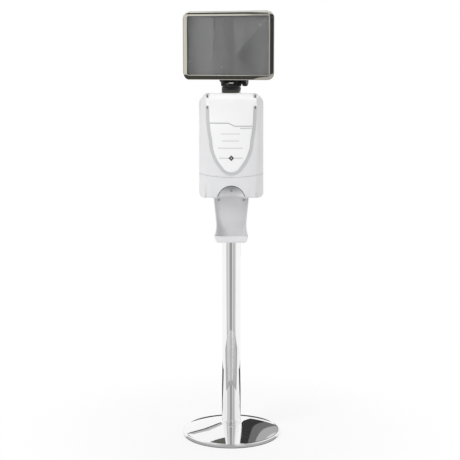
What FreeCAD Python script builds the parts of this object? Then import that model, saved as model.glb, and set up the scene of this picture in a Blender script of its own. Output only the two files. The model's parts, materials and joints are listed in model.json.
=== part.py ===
import FreeCAD, Part
import math
import os
import re
import Sketcher
from FreeCAD import Placement, Rotation, Vector

# Hand sanitizer floor stand, in millimetres.
# The origin is on the floor at the pole's axis, +Z is up and the front faces -Y.

os.makedirs("parts", exist_ok=True)
doc = FreeCAD.newDocument("SanitizerStand")
sheet = doc.addObject("Spreadsheet::Sheet", "Sizes")
aliases = []
nodes = {}


def sizes(**values):
    """Write driving sizes to the sheet, one alias to a row."""
    for alias, value in values.items():
        aliases.append(alias)
        row = len(aliases)
        sheet.set(f"A{row}", alias)
        sheet.set(f"B{row}", str(value))
        sheet.setAlias(f"B{row}", alias)
    doc.recompute()


def bound(formula):
    """Turn the aliases in a formula into references to the sheet."""
    return re.sub(r"[a-z][a-z0-9]*_[a-z0-9_]+", lambda word: "Sizes." + word.group(0), str(formula))


def size(formula):
    """The present value of a formula, worked out by the sheet in a spare cell."""
    sheet.set("D1", f"={formula}")
    sheet.recompute()
    value = sheet.get("D1")
    return float(getattr(value, "Value", value))


def bind(thing, **formulas):
    """Bind properties of an object to formulas of the sheet."""
    for name, formula in formulas.items():
        thing.setExpression(name, bound(formula))


def place(thing, at):
    """Bind an object's position to three formulas."""
    for axis, formula in zip("xyz", at):
        thing.setExpression(f"Placement.Base.{axis}", bound(formula))
    return thing


ALONG = {
    "X": Rotation(Vector(0, 1, 0), 90),
    "Y": Rotation(Vector(1, 0, 0), -90),
    "Z": Rotation(),
}


def block(name, span, at):
    """A box from its span and its low corner."""
    thing = doc.addObject("Part::Box", name)
    bind(thing, Length=span[0], Width=span[1], Height=span[2])
    return place(thing, at)


def rod(name, radius, length, at, along="Z"):
    """A cylinder that starts at a point and runs along an axis."""
    thing = doc.addObject("Part::Cylinder", name)
    bind(thing, Radius=radius, Height=length)
    thing.Placement.Rotation = ALONG[along]
    return place(thing, at)


def prism(name, sides, radius, length, at, along="Z"):
    """A regular prism, as a bolt's head or nut, sized by its corners."""
    thing = doc.addObject("Part::Prism", name)
    thing.Polygon = sides
    bind(thing, Circumradius=radius, Height=length)
    thing.Placement.Rotation = ALONG[along]
    return place(thing, at)


def join(name, *pieces):
    """Fuse pieces into one solid."""
    thing = doc.addObject("Part::MultiFuse", name)
    thing.Shapes = list(pieces)
    thing.Refine = True
    return thing


def common(name, *pieces):
    """Keep what all the pieces share."""
    thing = doc.addObject("Part::MultiCommon", name)
    thing.Shapes = list(pieces)
    return thing


def cut(name, base, *tools):
    """Take tools away from a base."""
    thing = doc.addObject("Part::Cut", name)
    thing.Base = base
    thing.Tool = tools[0] if len(tools) == 1 else join(name + "_tools", *tools)
    return thing


def group(name, *pieces):
    """Keep separate solids together as one node."""
    thing = doc.addObject("Part::Compound", name)
    thing.Links = list(pieces)
    return thing


def node(label, thing, swivelled=False):
    """Name a finished piece; the sign's head stands turned about the pole's axis."""
    thing.Label = label
    nodes[label] = thing
    if swivelled:
        turn = Placement(Vector(), Rotation(Vector(0, 0, 1), size("head_turn")))
        thing.Placement = turn.multiply(thing.Placement)
    return thing


def outline(sketch, corners):
    """Draw a closed outline; a corner's third value is the sagitta of the arc that leaves it.

    A positive sagitta bulges to the right of the way round, outwards when drawn anticlockwise.
    Each corner is bound to its formulas, and each arc to its radius.
    """
    spots = [Vector(size(corner[0]), size(corner[1]), 0) for corner in corners]
    for index, corner in enumerate(corners):
        start = spots[index]
        end = spots[(index + 1) % len(corners)]
        bulge = size(corner[2]) if len(corner) > 2 else 0.0
        if bulge:
            chord = end - start
            right = Vector(chord.y, -chord.x, 0).normalize()
            middle = (start + end) * 0.5 + right * bulge
            ends = (start, end) if bulge > 0 else (end, start)
            sketch.addGeometry(Part.Arc(ends[0], middle, ends[1]))
        else:
            sketch.addGeometry(Part.LineSegment(start, end))
    tails = [tail(sketch, index, spot) for index, spot in enumerate(spots)]
    held = []
    for index, corner in enumerate(corners):
        following = (index + 1) % len(corners)
        leaving = tails[index]
        across = Sketcher.Constraint("DistanceX", index, leaving, spots[index].x)
        up = Sketcher.Constraint("DistanceY", index, leaving, spots[index].y)
        meets = Sketcher.Constraint("Coincident", index, 3 - leaving, following, tails[following])
        held += [(across, corner[0]), (up, corner[1]), (meets, None)]
        if len(corner) > 2 and size(corner[2]):
            after = corners[following]
            chord_square = f"(({after[0]}) - ({corner[0]}))^2 + (({after[1]}) - ({corner[1]}))^2"
            radius = f"(({chord_square}) / 4 + ({corner[2]})^2) / (2 * abs({corner[2]}))"
            held.append((Sketcher.Constraint("Radius", index, size(radius)), radius))
    sketch.addConstraint([constraint for constraint, formula in held])
    for index, (constraint, formula) in enumerate(held):
        if formula is not None:
            sketch.renameConstraint(index, f"held_{index}")
            sketch.setExpression(f"Constraints.held_{index}", bound(formula))


def tail(sketch, index, spot):
    """Which end of a sketch's line or arc lies on a spot: 1 for its start, 2 for its end."""
    edge = sketch.Geometry[index]
    near_start = edge.StartPoint.distanceToPoint(spot)
    near_end = edge.EndPoint.distanceToPoint(spot)
    return 1 if near_start < near_end else 2


def body_with_sketch(name, plane, corners, start="0"):
    """A body with one closed outline on an origin plane, moved along the plane's normal."""
    body = doc.addObject("PartDesign::Body", name)
    sketch = body.newObject("Sketcher::SketchObject", name + "_outline")
    origin = next(part for part in body.Origin.OriginFeatures if part.Role == plane)
    sketch.AttachmentSupport = [(origin, "")]
    sketch.MapMode = "FlatFace"
    sketch.setExpression("AttachmentOffset.Base.z", bound(start))
    outline(sketch, corners)
    return body, sketch


def extruded(name, plane, corners, start, length):
    """A straight extrusion of an outline.

    On XY_Plane it rises from z = start, on YZ_Plane it runs towards +X from x = start,
    and on XZ_Plane it runs towards the front, -Y, from y = start.
    """
    offset = f"-({start})" if plane == "XZ_Plane" else start
    body, sketch = body_with_sketch(name, plane, corners, offset)
    pad = body.newObject("PartDesign::Pad", name + "_pad")
    pad.Profile = sketch
    bind(pad, Length=length)
    return body


def turned(name, corners):
    """A piece turned about the Z axis from an outline of radii and heights."""
    body, sketch = body_with_sketch(name, "XZ_Plane", corners)
    spin = body.newObject("PartDesign::Revolution", name + "_spin")
    spin.Profile = sketch
    spin.ReferenceAxis = (sketch, ["V_Axis"])
    spin.Angle = 360
    return body


def eased(body, radius, chosen):
    """Round the edges of a body's last feature that a test picks."""
    doc.recompute()
    base = body.Tip
    names = [f"Edge{n}" for n, edge in enumerate(base.Shape.Edges, 1) if chosen(edge)]
    fillet = body.newObject("PartDesign::Fillet", f"{body.Name}_round")
    fillet.Base = (base, names)
    bind(fillet, Radius=radius)
    return body


def runs_along(edge, direction):
    """Whether an edge is straight and parallel to a direction."""
    if edge.Curve.TypeId != "Part::GeomLine":
        return False
    return abs(abs(edge.tangentAt(edge.FirstParameter).dot(direction)) - 1) < 1e-6


# Driving sizes of the base and the pole.
sizes(
    base_radius=169,
    base_rim_height=13.5,
    base_rim_round=3,
    base_skin=1.5,
    dome_top=43.5,
    dome_flat_radius=38,
    dome_swell=3.4,
    ring_inner_radius=132,
    ring_height=4,
    ring_step=2,
    weight_radius=158,
    weight_height=16,
    weight_edge=6,
    weight_slope_radius=90,
    hub_radius=30,
    bolt_radius=6,
    bolt_gap=0.3,
    bolt_head_corner=11,
    bolt_head_height=7.5,
    bolt_length=78,
    washer_radius=13,
    washer_height=2.5,
    spring_washer_height=3,
    counterbore_radius=16,
    counterbore_height=15,
    collar_height=10,
    pole_radius=32.7,
    pole_wall=1.5,
    pole_top=1209,
    plug_height=38,
    plug_chamfer=2,
    fit_gap=0.1,
)

# Driving sizes of the swivelling head and the tilting bracket.
sizes(
    head_turn=-14,
    cap_height=9,
    cap_spigot=30,
    cap_edge=1.2,
    swivel_radius=5,
    swivel_gap=0.05,
    swivel_head_radius=9,
    swivel_head_height=4,
    swivel_nut_corner=9.2,
    swivel_nut_height=8,
    slip_ring_height=2.2,
    slip_ring_radius=29,
    head_low_radius=34,
    head_radius=35.2,
    head_height=22,
    tilt_axis=1243,
    ear_radius=17,
    ear_inner=15.3,
    slot_floor=6,
    knuckle_gap=0.4,
    knuckle_radius=11,
    tilt_bolt_radius=4,
    tilt_bolt_gap=0.05,
    tilt_head_radius=8,
    tilt_head_length=4,
    knob_radius=22.5,
    knob_length=20,
    knob_gap=0.4,
    knob_flutes=12,
    knob_flute_radius=3.2,
    knob_face_dish=2,
    bracket_plate_width=64,
    bracket_plate_height=70,
    bracket_plate_thick=4,
    bracket_plate_low=1263,
    bracket_arm_sweep=7,
    bracket_screw_radius=2,
    bracket_screw_head=4,
)


def base_pieces():
    """The dished chrome cover, the weight under it, the rubber ring and the bolt up into the pole."""
    skin_flat = "dome_top - base_skin"
    rim_inner = "base_radius - base_skin"
    cover = turned("cover", [
        (rim_inner, "ring_step"),
        ("base_radius", "ring_step"),
        ("base_radius", "base_rim_height - base_rim_round", "base_rim_round * 0.2929"),
        ("base_radius - base_rim_round", "base_rim_height", "dome_swell"),
        ("dome_flat_radius", "dome_top"),
        ("bolt_radius + bolt_gap", "dome_top"),
        ("bolt_radius + bolt_gap", skin_flat),
        ("dome_flat_radius", skin_flat, "-dome_swell"),
        ("base_radius - base_rim_round - 0.5", "base_rim_height - base_skin"),
        (rim_inner, "base_rim_height - base_skin - 1.5"),
    ])
    node("base_cover", cover)
    node("base_foot_ring", turned("foot_ring", [
        ("ring_inner_radius", "0"),
        ("base_radius - 0.4", "0"),
        ("base_radius - 0.4", "ring_step"),
        ("base_radius - base_skin - fit_gap * 2", "ring_step"),
        ("base_radius - base_skin - fit_gap * 2", "ring_height"),
        ("ring_inner_radius", "ring_height"),
    ]))
    weight_low = "ring_height"
    weight_top = "ring_height + weight_height"
    node("base_weight", turned("weight", [
        ("counterbore_radius", weight_low),
        ("weight_radius", weight_low),
        ("weight_radius", "ring_height + weight_edge"),
        ("weight_slope_radius", weight_top),
        ("hub_radius + 4", "ring_height + weight_height + 4"),
        ("hub_radius", skin_flat),
        ("bolt_radius + bolt_gap", skin_flat),
        ("bolt_radius + bolt_gap", "ring_height + counterbore_height"),
        ("counterbore_radius", "ring_height + counterbore_height"),
    ]))
    seat = "ring_height + counterbore_height"
    ring_under = f"{seat} - washer_height"
    spring_under = f"{ring_under} - spring_washer_height"
    node("base_washer", cut(
        "washer",
        rod("washer_disc", "washer_radius", "washer_height", ("0", "0", ring_under)),
        rod("washer_hole", "bolt_radius + bolt_gap", "washer_height", ("0", "0", ring_under)),
    ))
    node("base_spring_washer", cut(
        "spring_washer",
        rod("spring_disc", "washer_radius - 3", "spring_washer_height", ("0", "0", spring_under)),
        rod("spring_hole", "bolt_radius + bolt_gap", "spring_washer_height", ("0", "0", spring_under)),
        block("spring_split", ("washer_radius", "1.5", "spring_washer_height"), ("0", "-0.75", spring_under)),
    ))
    head_low = f"{spring_under} - bolt_head_height"
    node("base_bolt", join(
        "foot_bolt",
        prism("foot_bolt_head", 6, "bolt_head_corner", "bolt_head_height", ("0", "0", head_low)),
        rod("foot_bolt_shank", "bolt_radius", "bolt_length + bolt_head_height", ("0", "0", head_low)),
    ))


def pole_pieces():
    """The chrome tube between its foot collar with a threaded plug and the black top cap."""
    pole_low = "dome_top + collar_height"
    bore = "pole_radius - pole_wall"
    node("foot_collar", turned("collar", [
        ("bolt_radius + bolt_gap", "dome_top"),
        ("pole_radius", "dome_top"),
        ("pole_radius", "dome_top + collar_height"),
        ("bolt_radius + bolt_gap", "dome_top + collar_height"),
    ]))
    node("pole", cut(
        "pole_tube",
        rod("pole_outside", "pole_radius", f"pole_top - ({pole_low})", ("0", "0", pole_low)),
        rod("pole_inside", bore, f"pole_top - ({pole_low})", ("0", "0", pole_low)),
    ))
    plug_radius = f"{bore} - fit_gap"
    node("pole_lower_plug", turned("plug", [
        ("bolt_radius + fit_gap", pole_low),
        (plug_radius, pole_low),
        (plug_radius, f"{pole_low} + plug_height - plug_chamfer"),
        (f"{plug_radius} - plug_chamfer", f"{pole_low} + plug_height"),
        ("bolt_radius + fit_gap", f"{pole_low} + plug_height"),
    ]))
    hole = "swivel_radius + swivel_gap"
    spigot = f"{bore} - fit_gap"
    node("pole_top_cap", turned("top_cap", [
        (hole, "pole_top - cap_spigot"),
        (f"{spigot} - 1", "pole_top - cap_spigot"),
        (spigot, "pole_top - cap_spigot + 4"),
        (spigot, "pole_top"),
        ("pole_radius", "pole_top"),
        ("pole_radius", "pole_top + cap_height - cap_edge", "cap_edge * 0.2929"),
        ("pole_radius - cap_edge", "pole_top + cap_height"),
        (hole, "pole_top + cap_height"),
    ]))


def head_pieces():
    """The head that swivels on the pole, and the bracket that tilts in its ears."""
    cap_top = "pole_top + cap_height"
    head_low = f"{cap_top} + slip_ring_height"
    hole = "swivel_radius + swivel_gap"
    node("swivel_slip_ring", turned("slip_ring", [
        (hole, cap_top),
        ("slip_ring_radius", cap_top),
        ("slip_ring_radius", head_low),
        (hole, head_low),
    ]), swivelled=True)
    neck = turned("neck", [
        (hole, head_low),
        ("head_low_radius", head_low),
        ("head_radius", f"{head_low} + head_height"),
        (hole, f"{head_low} + head_height"),
    ])
    ear_span = "head_radius * 2"
    ears = join(
        "ear_blank",
        rod("ear_round", "ear_radius", ear_span, ("-head_radius", "0", "tilt_axis"), "X"),
        block("ear_web", (ear_span, "ear_radius * 2", f"tilt_axis - ({head_low}) - slot_floor"),
              ("-head_radius", "-ear_radius", f"{head_low} + slot_floor")),
    )
    ears_in_round = common(
        "ears",
        ears,
        rod("ear_limit", "head_radius", "200", ("0", "0", head_low)),
    )
    slot = block("ear_slot", ("ear_inner * 2", "head_radius * 2", "100"),
                 ("-ear_inner", "-head_radius", f"{head_low} + slot_floor"))
    bore = rod("tilt_bore", "tilt_bolt_radius + tilt_bolt_gap", ear_span,
               ("-head_radius", "0", "tilt_axis"), "X")
    down = rod("swivel_bore", hole, "head_height", ("0", "0", head_low))
    blank = join("head_blank", neck, ears_in_round)
    node("head_body", cut("head_casting", blank, slot, bore, down), swivelled=True)
    floor = f"{head_low} + slot_floor"
    nut_low = "pole_top - cap_spigot - swivel_nut_height - 1.5"
    node("swivel_bolt", join(
        "swivel_bolt_solid",
        rod("swivel_head", "swivel_head_radius", "swivel_head_height", ("0", "0", floor)),
        rod("swivel_shank", "swivel_radius", f"{floor} - ({nut_low}) + 6", ("0", "0", f"{nut_low} - 6")),
    ), swivelled=True)
    nut = cut(
        "swivel_nut_solid",
        prism("swivel_nut_blank", 6, "swivel_nut_corner", "swivel_nut_height", ("0", "0", nut_low)),
        rod("swivel_nut_bore", "swivel_radius", "swivel_nut_height", ("0", "0", nut_low)),
    )
    node("swivel_nut", nut, swivelled=True)
    under = f"{nut_low} + swivel_nut_height"
    node("swivel_washer", cut(
        "swivel_washer_solid",
        rod("swivel_washer_disc", "swivel_nut_corner + 2", "1.5", ("0", "0", under)),
        rod("swivel_washer_hole", hole, "1.5", ("0", "0", under)),
    ), swivelled=True)


# Driving sizes of the snap frame: u runs inwards from its outer edge, depth from its back.
sizes(
    sign_width=317,
    sign_height=230,
    sign_low=1241,
    frame_back=-40,
    frame_face=18,
    rail_floor=1.5,
    rail_floor_reach=17,
    rail_wall_out=1.2,
    rail_wall_in=2.8,
    bead_u=2,
    bead_depth=7,
    bead_radius=1.5,
    bead_gap=0.3,
    flip_lip=4,
    flip_lip_thick=1.2,
    flip_edge=8.6,
    flip_crown=3,
    flip_skin=1.3,
    corner_reach=23,
    corner_radius=22,
    corner_front=10.4,
    corner_round=3.2,
    end_gap=0.3,
    page_width=297,
    page_height=210,
    back_thick=1,
    page_thick=0.3,
    clear_thick=0.9,
    page_slot=2.7,
)

# Where each side of the frame lies: the plane of its section, its start and its length.
SIDES = {
    "bottom": ("YZ_Plane", "frame_back - ({d})", "sign_low + {u}", False),
    "top": ("YZ_Plane", "frame_back - ({d})", "sign_low + sign_height - ({u})", True),
    "left": ("XY_Plane", "-sign_width / 2 + {u}", "frame_back - ({d})", True),
    "right": ("XY_Plane", "sign_width / 2 - ({u})", "frame_back - ({d})", False),
}


def turned_round(corners):
    """The same outline walked the other way, each arc kept on its own edge."""
    count = len(corners)
    result = []
    for index in range(count):
        here = corners[count - 1 - index]
        edge = corners[(count - 2 - index) % count]
        result.append((here[0], here[1], *edge[2:]))
    return result


def rail(name, side, section, gap):
    """One rail of the frame, its section given as (u, depth, sagitta) and its ends cut short by a gap."""
    plane, across, up, flipped = SIDES[side]
    corners = [
        (across.format(u=spot[0], d=spot[1]), up.format(u=spot[0], d=spot[1]), *spot[2:])
        for spot in section
    ]
    if flipped:
        corners = turned_round(corners)
    if plane == "YZ_Plane":
        start, span = f"-sign_width / 2 + corner_reach + {gap}", "sign_width"
    else:
        start, span = f"sign_low + corner_reach + {gap}", "sign_height"
    return extruded(name, plane, corners, start, f"{span} - 2 * (corner_reach + {gap})")


def sign_frame():
    """Four fixed rails, four snap rails that turn on a bead, and four rounded corners."""
    wall_top = "bead_depth - bead_radius - bead_gap"
    fixed = [
        ("rail_wall_out", "0"),
        ("rail_floor_reach", "0"),
        ("rail_floor_reach", "rail_floor"),
        ("rail_wall_in", "rail_floor"),
        ("rail_wall_in", wall_top),
        ("rail_wall_out", wall_top),
    ]
    lip_in = "frame_face - flip_lip_thick"
    snap = [
        ("bead_u - bead_radius", "bead_depth", "bead_radius * 0.684"),
        ("bead_u + bead_radius * 0.8", "bead_depth - bead_radius * 0.6", "-(flip_crown - 0.5)"),
        (lip_in, "flip_edge - flip_skin"),
        (lip_in, "flip_lip"),
        ("frame_face", "flip_lip"),
        ("frame_face", "flip_edge", "flip_crown"),
    ]
    for side in SIDES:
        node(f"rail_{side}", rail(f"{side}_fixed", side, fixed, "0"), swivelled=True)
        node(f"snap_{side}", rail(f"{side}_snap", side, snap, "end_gap"), swivelled=True)
    reach = "corner_reach"
    for across in ("left", "right"):
        for up in ("bottom", "top"):
            def at(u, v):
                x = f"-sign_width / 2 + {u}" if across == "left" else f"sign_width / 2 - ({u})"
                z = f"sign_low + {v}" if up == "bottom" else f"sign_low + sign_height - ({v})"
                return x, z
            corners = [
                at("corner_radius", "0"),
                at(reach, "0"),
                at(reach, "frame_face"),
                at("frame_face", "frame_face"),
                at("frame_face", reach),
                at("0", reach),
                (*at("0", "corner_radius"), "corner_radius * 0.29289"),
            ]
            if (across == "right") != (up == "top"):
                corners = turned_round(corners)
            name = f"corner_{up}_{across}"
            piece = extruded(name + "_blank", "XZ_Plane", corners, "frame_back", "corner_front")
            front = size("frame_back - corner_front")
            piece = eased(piece, "corner_round", lambda edge: on_front_arc(edge, front))
            slot = block(name + "_slot", ("corner_reach", "page_slot", "corner_reach"),
                         ("0", "frame_back - rail_floor - page_slot", "0"))
            slot_x = at("corner_reach + (sign_width - page_width) / 2 - 0.4" if across == "right"
                        else "(sign_width - page_width) / 2 - 0.4", "0")[0]
            slot_z = at("0", "corner_reach + (sign_height - page_height) / 2 - 0.4" if up == "top"
                        else "(sign_height - page_height) / 2 - 0.4")[1]
            place(slot, (slot_x, "frame_back - rail_floor - page_slot", slot_z))
            node(name, cut(name + "_cap", piece, slot), swivelled=True)


def on_front_arc(edge, front):
    """Whether an edge is an arc of the front face."""
    flat = all(abs(vertex.Y - front) < 1e-6 for vertex in edge.Vertexes)
    return flat and edge.Curve.TypeId == "Part::GeomCircle"


def sign_sheets():
    """The back panel, the page and the clear sheet that the snap rails press on."""
    def sheet_of(name, thick, depth):
        span = ("page_width", thick, "page_height")
        low = "sign_low + (sign_height - page_height) / 2"
        sheet_at = ("-page_width / 2", f"frame_back - ({depth}) - {thick}", low)
        return group(name + "_sheet", block(name, span, sheet_at))
    back = sheet_of("back_blank", "back_thick", "rail_floor")
    tools = screw_rods("back_hole", "bracket_screw_radius + fit_gap")
    node("sign_back_panel", cut("back_drilled", back, *tools), swivelled=True)
    node("sign_page", sheet_of("page", "page_thick", "rail_floor + back_thick"), swivelled=True)
    clear = sheet_of("clear", "clear_thick", "rail_floor + back_thick + page_thick")
    node("sign_clear_cover", clear, swivelled=True)


def screw_rods(name, radius):
    """Four rods at the bracket's screws, from behind its plate to the front of the back panel."""
    back = "frame_back - rail_floor + bracket_plate_thick"
    rods = []
    for column in (-1, 1):
        for row in (-1, 1):
            x = f"{column} * (bracket_plate_width / 2 - 10)"
            z = f"bracket_plate_low + bracket_plate_height / 2 + {row} * (bracket_plate_height / 2 - 10)"
            length = "bracket_plate_thick + back_thick"
            at = (x, f"{back} - ({length})", z)
            rods.append(rod(f"{name}_{len(rods)}", radius, length, at, "Y"))
    return rods


def tilt_pieces():
    """The bracket with its knuckle, the tilt bolt, its clamping knob and the bracket's screws."""
    plate_front = "frame_back - rail_floor"
    plate_back = f"{plate_front} + bracket_plate_thick"
    half = "(ear_inner - knuckle_gap)"
    plate = block("bracket_plate", ("bracket_plate_width", "bracket_plate_thick", "bracket_plate_height"),
                  ("-bracket_plate_width / 2", plate_front, "bracket_plate_low"))
    knuckle = rod("bracket_knuckle", "knuckle_radius", f"2 * {half}", (f"-{half}", "0", "tilt_axis"), "X")
    arm_top = "bracket_plate_low + bracket_plate_height - 16"
    arm = extruded("bracket_arm", "YZ_Plane", [
        ("0", "tilt_axis - knuckle_radius"),
        ("knuckle_radius * 0.8", "tilt_axis + knuckle_radius * 0.6", "-bracket_arm_sweep"),
        (plate_back, arm_top),
        (f"{plate_back} - 1", arm_top),
        (f"{plate_back} - 1", "bracket_plate_low"),
    ], f"-{half}", f"2 * {half}")
    bore_radius = "tilt_bolt_radius + tilt_bolt_gap"
    bore = rod("bracket_bore", bore_radius, f"2 * {half}", (f"-{half}", "0", "tilt_axis"), "X")
    tools = screw_rods("bracket_hole", "bracket_screw_radius + fit_gap")
    bracket = cut("bracket_drilled", join("bracket_blank", plate, knuckle, arm), bore, *tools)
    node("sign_bracket", bracket, swivelled=True)
    screws = []
    for shank in screw_rods("bracket_screw", "bracket_screw_radius"):
        cap = doc.addObject("Part::Cylinder", shank.Name + "_cap")
        bind(cap, Radius="bracket_screw_head", Height="2")
        cap.Placement.Rotation = ALONG["Y"]
        for axis in "xz":
            cap.setExpression(f"Placement.Base.{axis}", f"{shank.Name}.Placement.Base.{axis}")
        cap.setExpression("Placement.Base.y", bound(plate_back))
        screws.append(join(shank.Name + "_solid", shank, cap))
    node("bracket_screws", group("bracket_screw_set", *screws), swivelled=True)
    node("tilt_bolt", join(
        "tilt_bolt_solid",
        rod("tilt_bolt_head", "tilt_head_radius", "tilt_head_length",
            ("-head_radius - tilt_head_length", "0", "tilt_axis"), "X"),
        rod("tilt_bolt_shank", "tilt_bolt_radius", "head_radius * 2 + knob_gap + knob_length - 5",
            ("-head_radius", "0", "tilt_axis"), "X"),
    ), swivelled=True)
    knob = turned("knob_blank", [
        (bore_radius, "0"),
        ("knob_radius * 0.62", "0"),
        ("knob_radius * 0.66", "3"),
        ("knob_radius", "6"),
        ("knob_radius", "knob_length - 2.5"),
        ("knob_radius - 2", "knob_length"),
        ("knob_radius - 4", "knob_length"),
        ("0", "knob_length - knob_face_dish"),
        ("0", "knob_length - 4"),
        (bore_radius, "knob_length - 4"),
    ])
    flutes = []
    for index in range(int(size("knob_flutes"))):
        angle = f"360deg / knob_flutes * {index}"
        reach = "(knob_radius + knob_flute_radius * 0.45)"
        at = (f"{reach} * cos({angle})", f"{reach} * sin({angle})", "4")
        flutes.append(rod(f"knob_flute_{index}", "knob_flute_radius", "knob_length", at))
    grip = cut("knob_grip", knob, *flutes)
    grip.Placement = Placement(Vector(size("head_radius + knob_gap"), 0, size("tilt_axis")), ALONG["X"])
    node("tilt_knob", grip, swivelled=True)


# Driving sizes of the dispenser's mount and its moulded case.
sizes(
    mount_width=100,
    mount_height=335,
    mount_low=820,
    mount_thick=2,
    clamp_width=104,
    clamp_height=30,
    clamp_low_at=905,
    clamp_high_at=1105,
    clamp_split=1,
    clamp_band=6,
    clamp_ear=10,
    clamp_bolt_radius=3,
    clamp_bolt_reach=22,
    clamp_bolt_head=5,
    clamp_bolt_inset=7,
    clamp_socket=3,
    case_width=214,
    case_low=857,
    case_top=1198,
    case_back=-47,
    case_front=-165,
    case_wall=2.5,
    case_crown=15,
    case_cheek=24,
    case_cheek_depth=38,
    case_cheek_swell=3,
    case_foot_round=14,
    case_shoulder=26,
    case_shoulder_swell=4,
    case_side_taper=1.2,
    case_top_depth=38,
    case_top_drop=46,
    case_top_swell=7,
    case_chin_depth=14,
    case_chin_rise=26,
    case_chin_swell=3.5,
    split_depth=25,
    seam_side=936,
    seam_dip=10,
    seam_gap=0.8,
    hinge_depth=28,
    hinge_radius=4,
    hinge_pin_radius=1.8,
    hinge_pin_gap=0.05,
    knuckle_inner=40,
    knuckle_outer=70,
    knuckle_end=85,
    knuckle_side_gap=0.5,
)

# Driving sizes of the shield, the bay with its nozzle, and the hand tray.
sizes(
    shield_tip=943,
    shield_tip_half=30,
    shield_tip_rise=18,
    shield_hip_half=62.8,
    shield_hip_rise=104,
    shield_hip_swell=8,
    shield_half=72.7,
    shield_rise=205,
    shield_half_swell=2.7,
    rim_width=10.8,
    rim_proud=0.7,
    panel_proud=2,
    panel_gap=0.3,
    lug_low=1160,
    lug_high=1185,
    slot_height=8,
    slot_width=3.4,
    slot_depth=40,
    slot_gap=1.5,
    bay_radius=46,
    bay_wall=2,
    bay_axis=853,
    bay_depth_axis=-145,
    nozzle_y=-128,
    nozzle_tip=874,
    nozzle_top=925,
    nozzle_radius=6.5,
    nozzle_tip_radius=4,
    nozzle_bore=2,
    nozzle_hole=9,
    window_radius=5,
    window_y=-149,
    tray_back=-47,
    tray_front=-150,
    tray_low=705,
    tray_rim=728,
    tray_top=856.5,
    tray_wall=2.5,
    tray_neck_depth=17,
    tray_neck_low=772,
    tray_heel=44,
    tray_toe=10,
    tray_top_half=60,
    tray_screw_level=838,
    tray_waist_half=49,
    tray_waist=762,
    tray_cup_half=57,
    tray_foot_half=50,
)


def case_form(name, inset):
    """The case's moulded form, taken in by an inset: what its plan, side and front outlines share."""
    half = f"(case_width / 2 - ({inset}))"
    cheek_y = f"case_front + case_crown + ({inset})"
    side_y = f"case_front + case_crown + case_cheek_depth + ({inset}) * 0.5"
    cheek_x = f"(case_width / 2 - case_cheek - ({inset}) * 0.6)"
    back = f"case_back - ({inset})"
    low = f"case_low + ({inset})"
    top = f"case_top - ({inset})"
    front = f"case_front + ({inset})"
    plan = extruded(name + "_plan", "XY_Plane", [
        (f"-{half}", side_y, "case_cheek_swell"),
        (f"-{cheek_x}", cheek_y, "case_crown"),
        (cheek_x, cheek_y, "case_cheek_swell"),
        (half, side_y),
        (half, back),
        (f"-{half}", back),
    ], "case_low - 20", "case_top - case_low + 40")
    side = extruded(name + "_side", "YZ_Plane", [
        (f"case_front + case_chin_depth + ({inset}) * 0.6", low),
        (back, low),
        (back, top),
        (f"case_front + case_top_depth + ({inset}) * 0.6", top, "case_top_swell"),
        (front, f"case_top - case_top_drop - ({inset}) * 0.5"),
        (front, f"case_low + case_chin_rise + ({inset}) * 0.5", "case_chin_swell"),
    ], "-case_width", "case_width * 2")
    foot_x = f"(case_width / 2 - case_foot_round - ({inset}) * 0.3)"
    shoulder_x = f"(case_width / 2 - case_shoulder - ({inset}) * 0.4)"
    shoulder_z = f"case_top - case_shoulder - ({inset}) * 0.5"
    upper_half = f"(case_width / 2 - case_side_taper - ({inset}))"
    foot_z = f"case_low + case_foot_round + ({inset}) * 0.3"
    face = extruded(name + "_face", "XZ_Plane", [
        (f"-{foot_x}", low),
        (foot_x, low, "case_foot_round * 0.29289"),
        (half, foot_z),
        (upper_half, shoulder_z, "case_shoulder_swell"),
        (shoulder_x, top),
        (f"-{shoulder_x}", top, "case_shoulder_swell"),
        (f"-{upper_half}", shoulder_z),
        (f"-{half}", foot_z, "case_foot_round * 0.29289"),
    ], "case_back + 20", "case_back - case_front + 40")
    return common(name, plan, side, face)


def seam_region(name, above, gap):
    """Everything above or below the smiling seam, held off it by half a gap."""
    wide = "case_width"
    line = f"seam_side + ({gap})" if above else f"seam_side - ({gap})"
    if above:
        corners = [
            (f"-{wide} / 2 - 2", line, "seam_dip"),
            (f"{wide} / 2 + 2", line),
            (f"{wide} / 2 + 2", "case_top + 20"),
            (f"-{wide} / 2 - 2", "case_top + 20"),
        ]
    else:
        corners = [
            (f"-{wide} / 2 - 2", "case_low - 20"),
            (f"{wide} / 2 + 2", "case_low - 20"),
            (f"{wide} / 2 + 2", line, "-seam_dip"),
            (f"-{wide} / 2 - 2", line),
        ]
    return extruded(name, "XZ_Plane", corners, "case_back + 20", "case_back - case_front + 60")


def between(name, back, front, low="case_low - 10", top="case_top + 10"):
    """A slab of space across the whole case between two depths and two heights."""
    return block(name, ("case_width + 20", f"({back}) - ({front})", f"({top}) - ({low})"),
                 ("-case_width / 2 - 10", front, low))


def barrel(name, radius, spans):
    """Hinge barrels on the cover's axis over spans of X."""
    hinge = ("case_back - hinge_depth", "case_top - hinge_radius")
    return [rod(f"{name}_{n}", radius, f"({end}) - ({start})", (start, *hinge), "X")
            for n, (start, end) in enumerate(spans)]


def arms(name, spans, back, front):
    """Webs that carry hinge barrels from a top wall."""
    return [block(f"{name}_{n}", (f"({end}) - ({start})", f"({back}) - ({front})", "hinge_radius"),
                  (start, front, "case_top - hinge_radius"))
            for n, (start, end) in enumerate(spans)]


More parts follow.
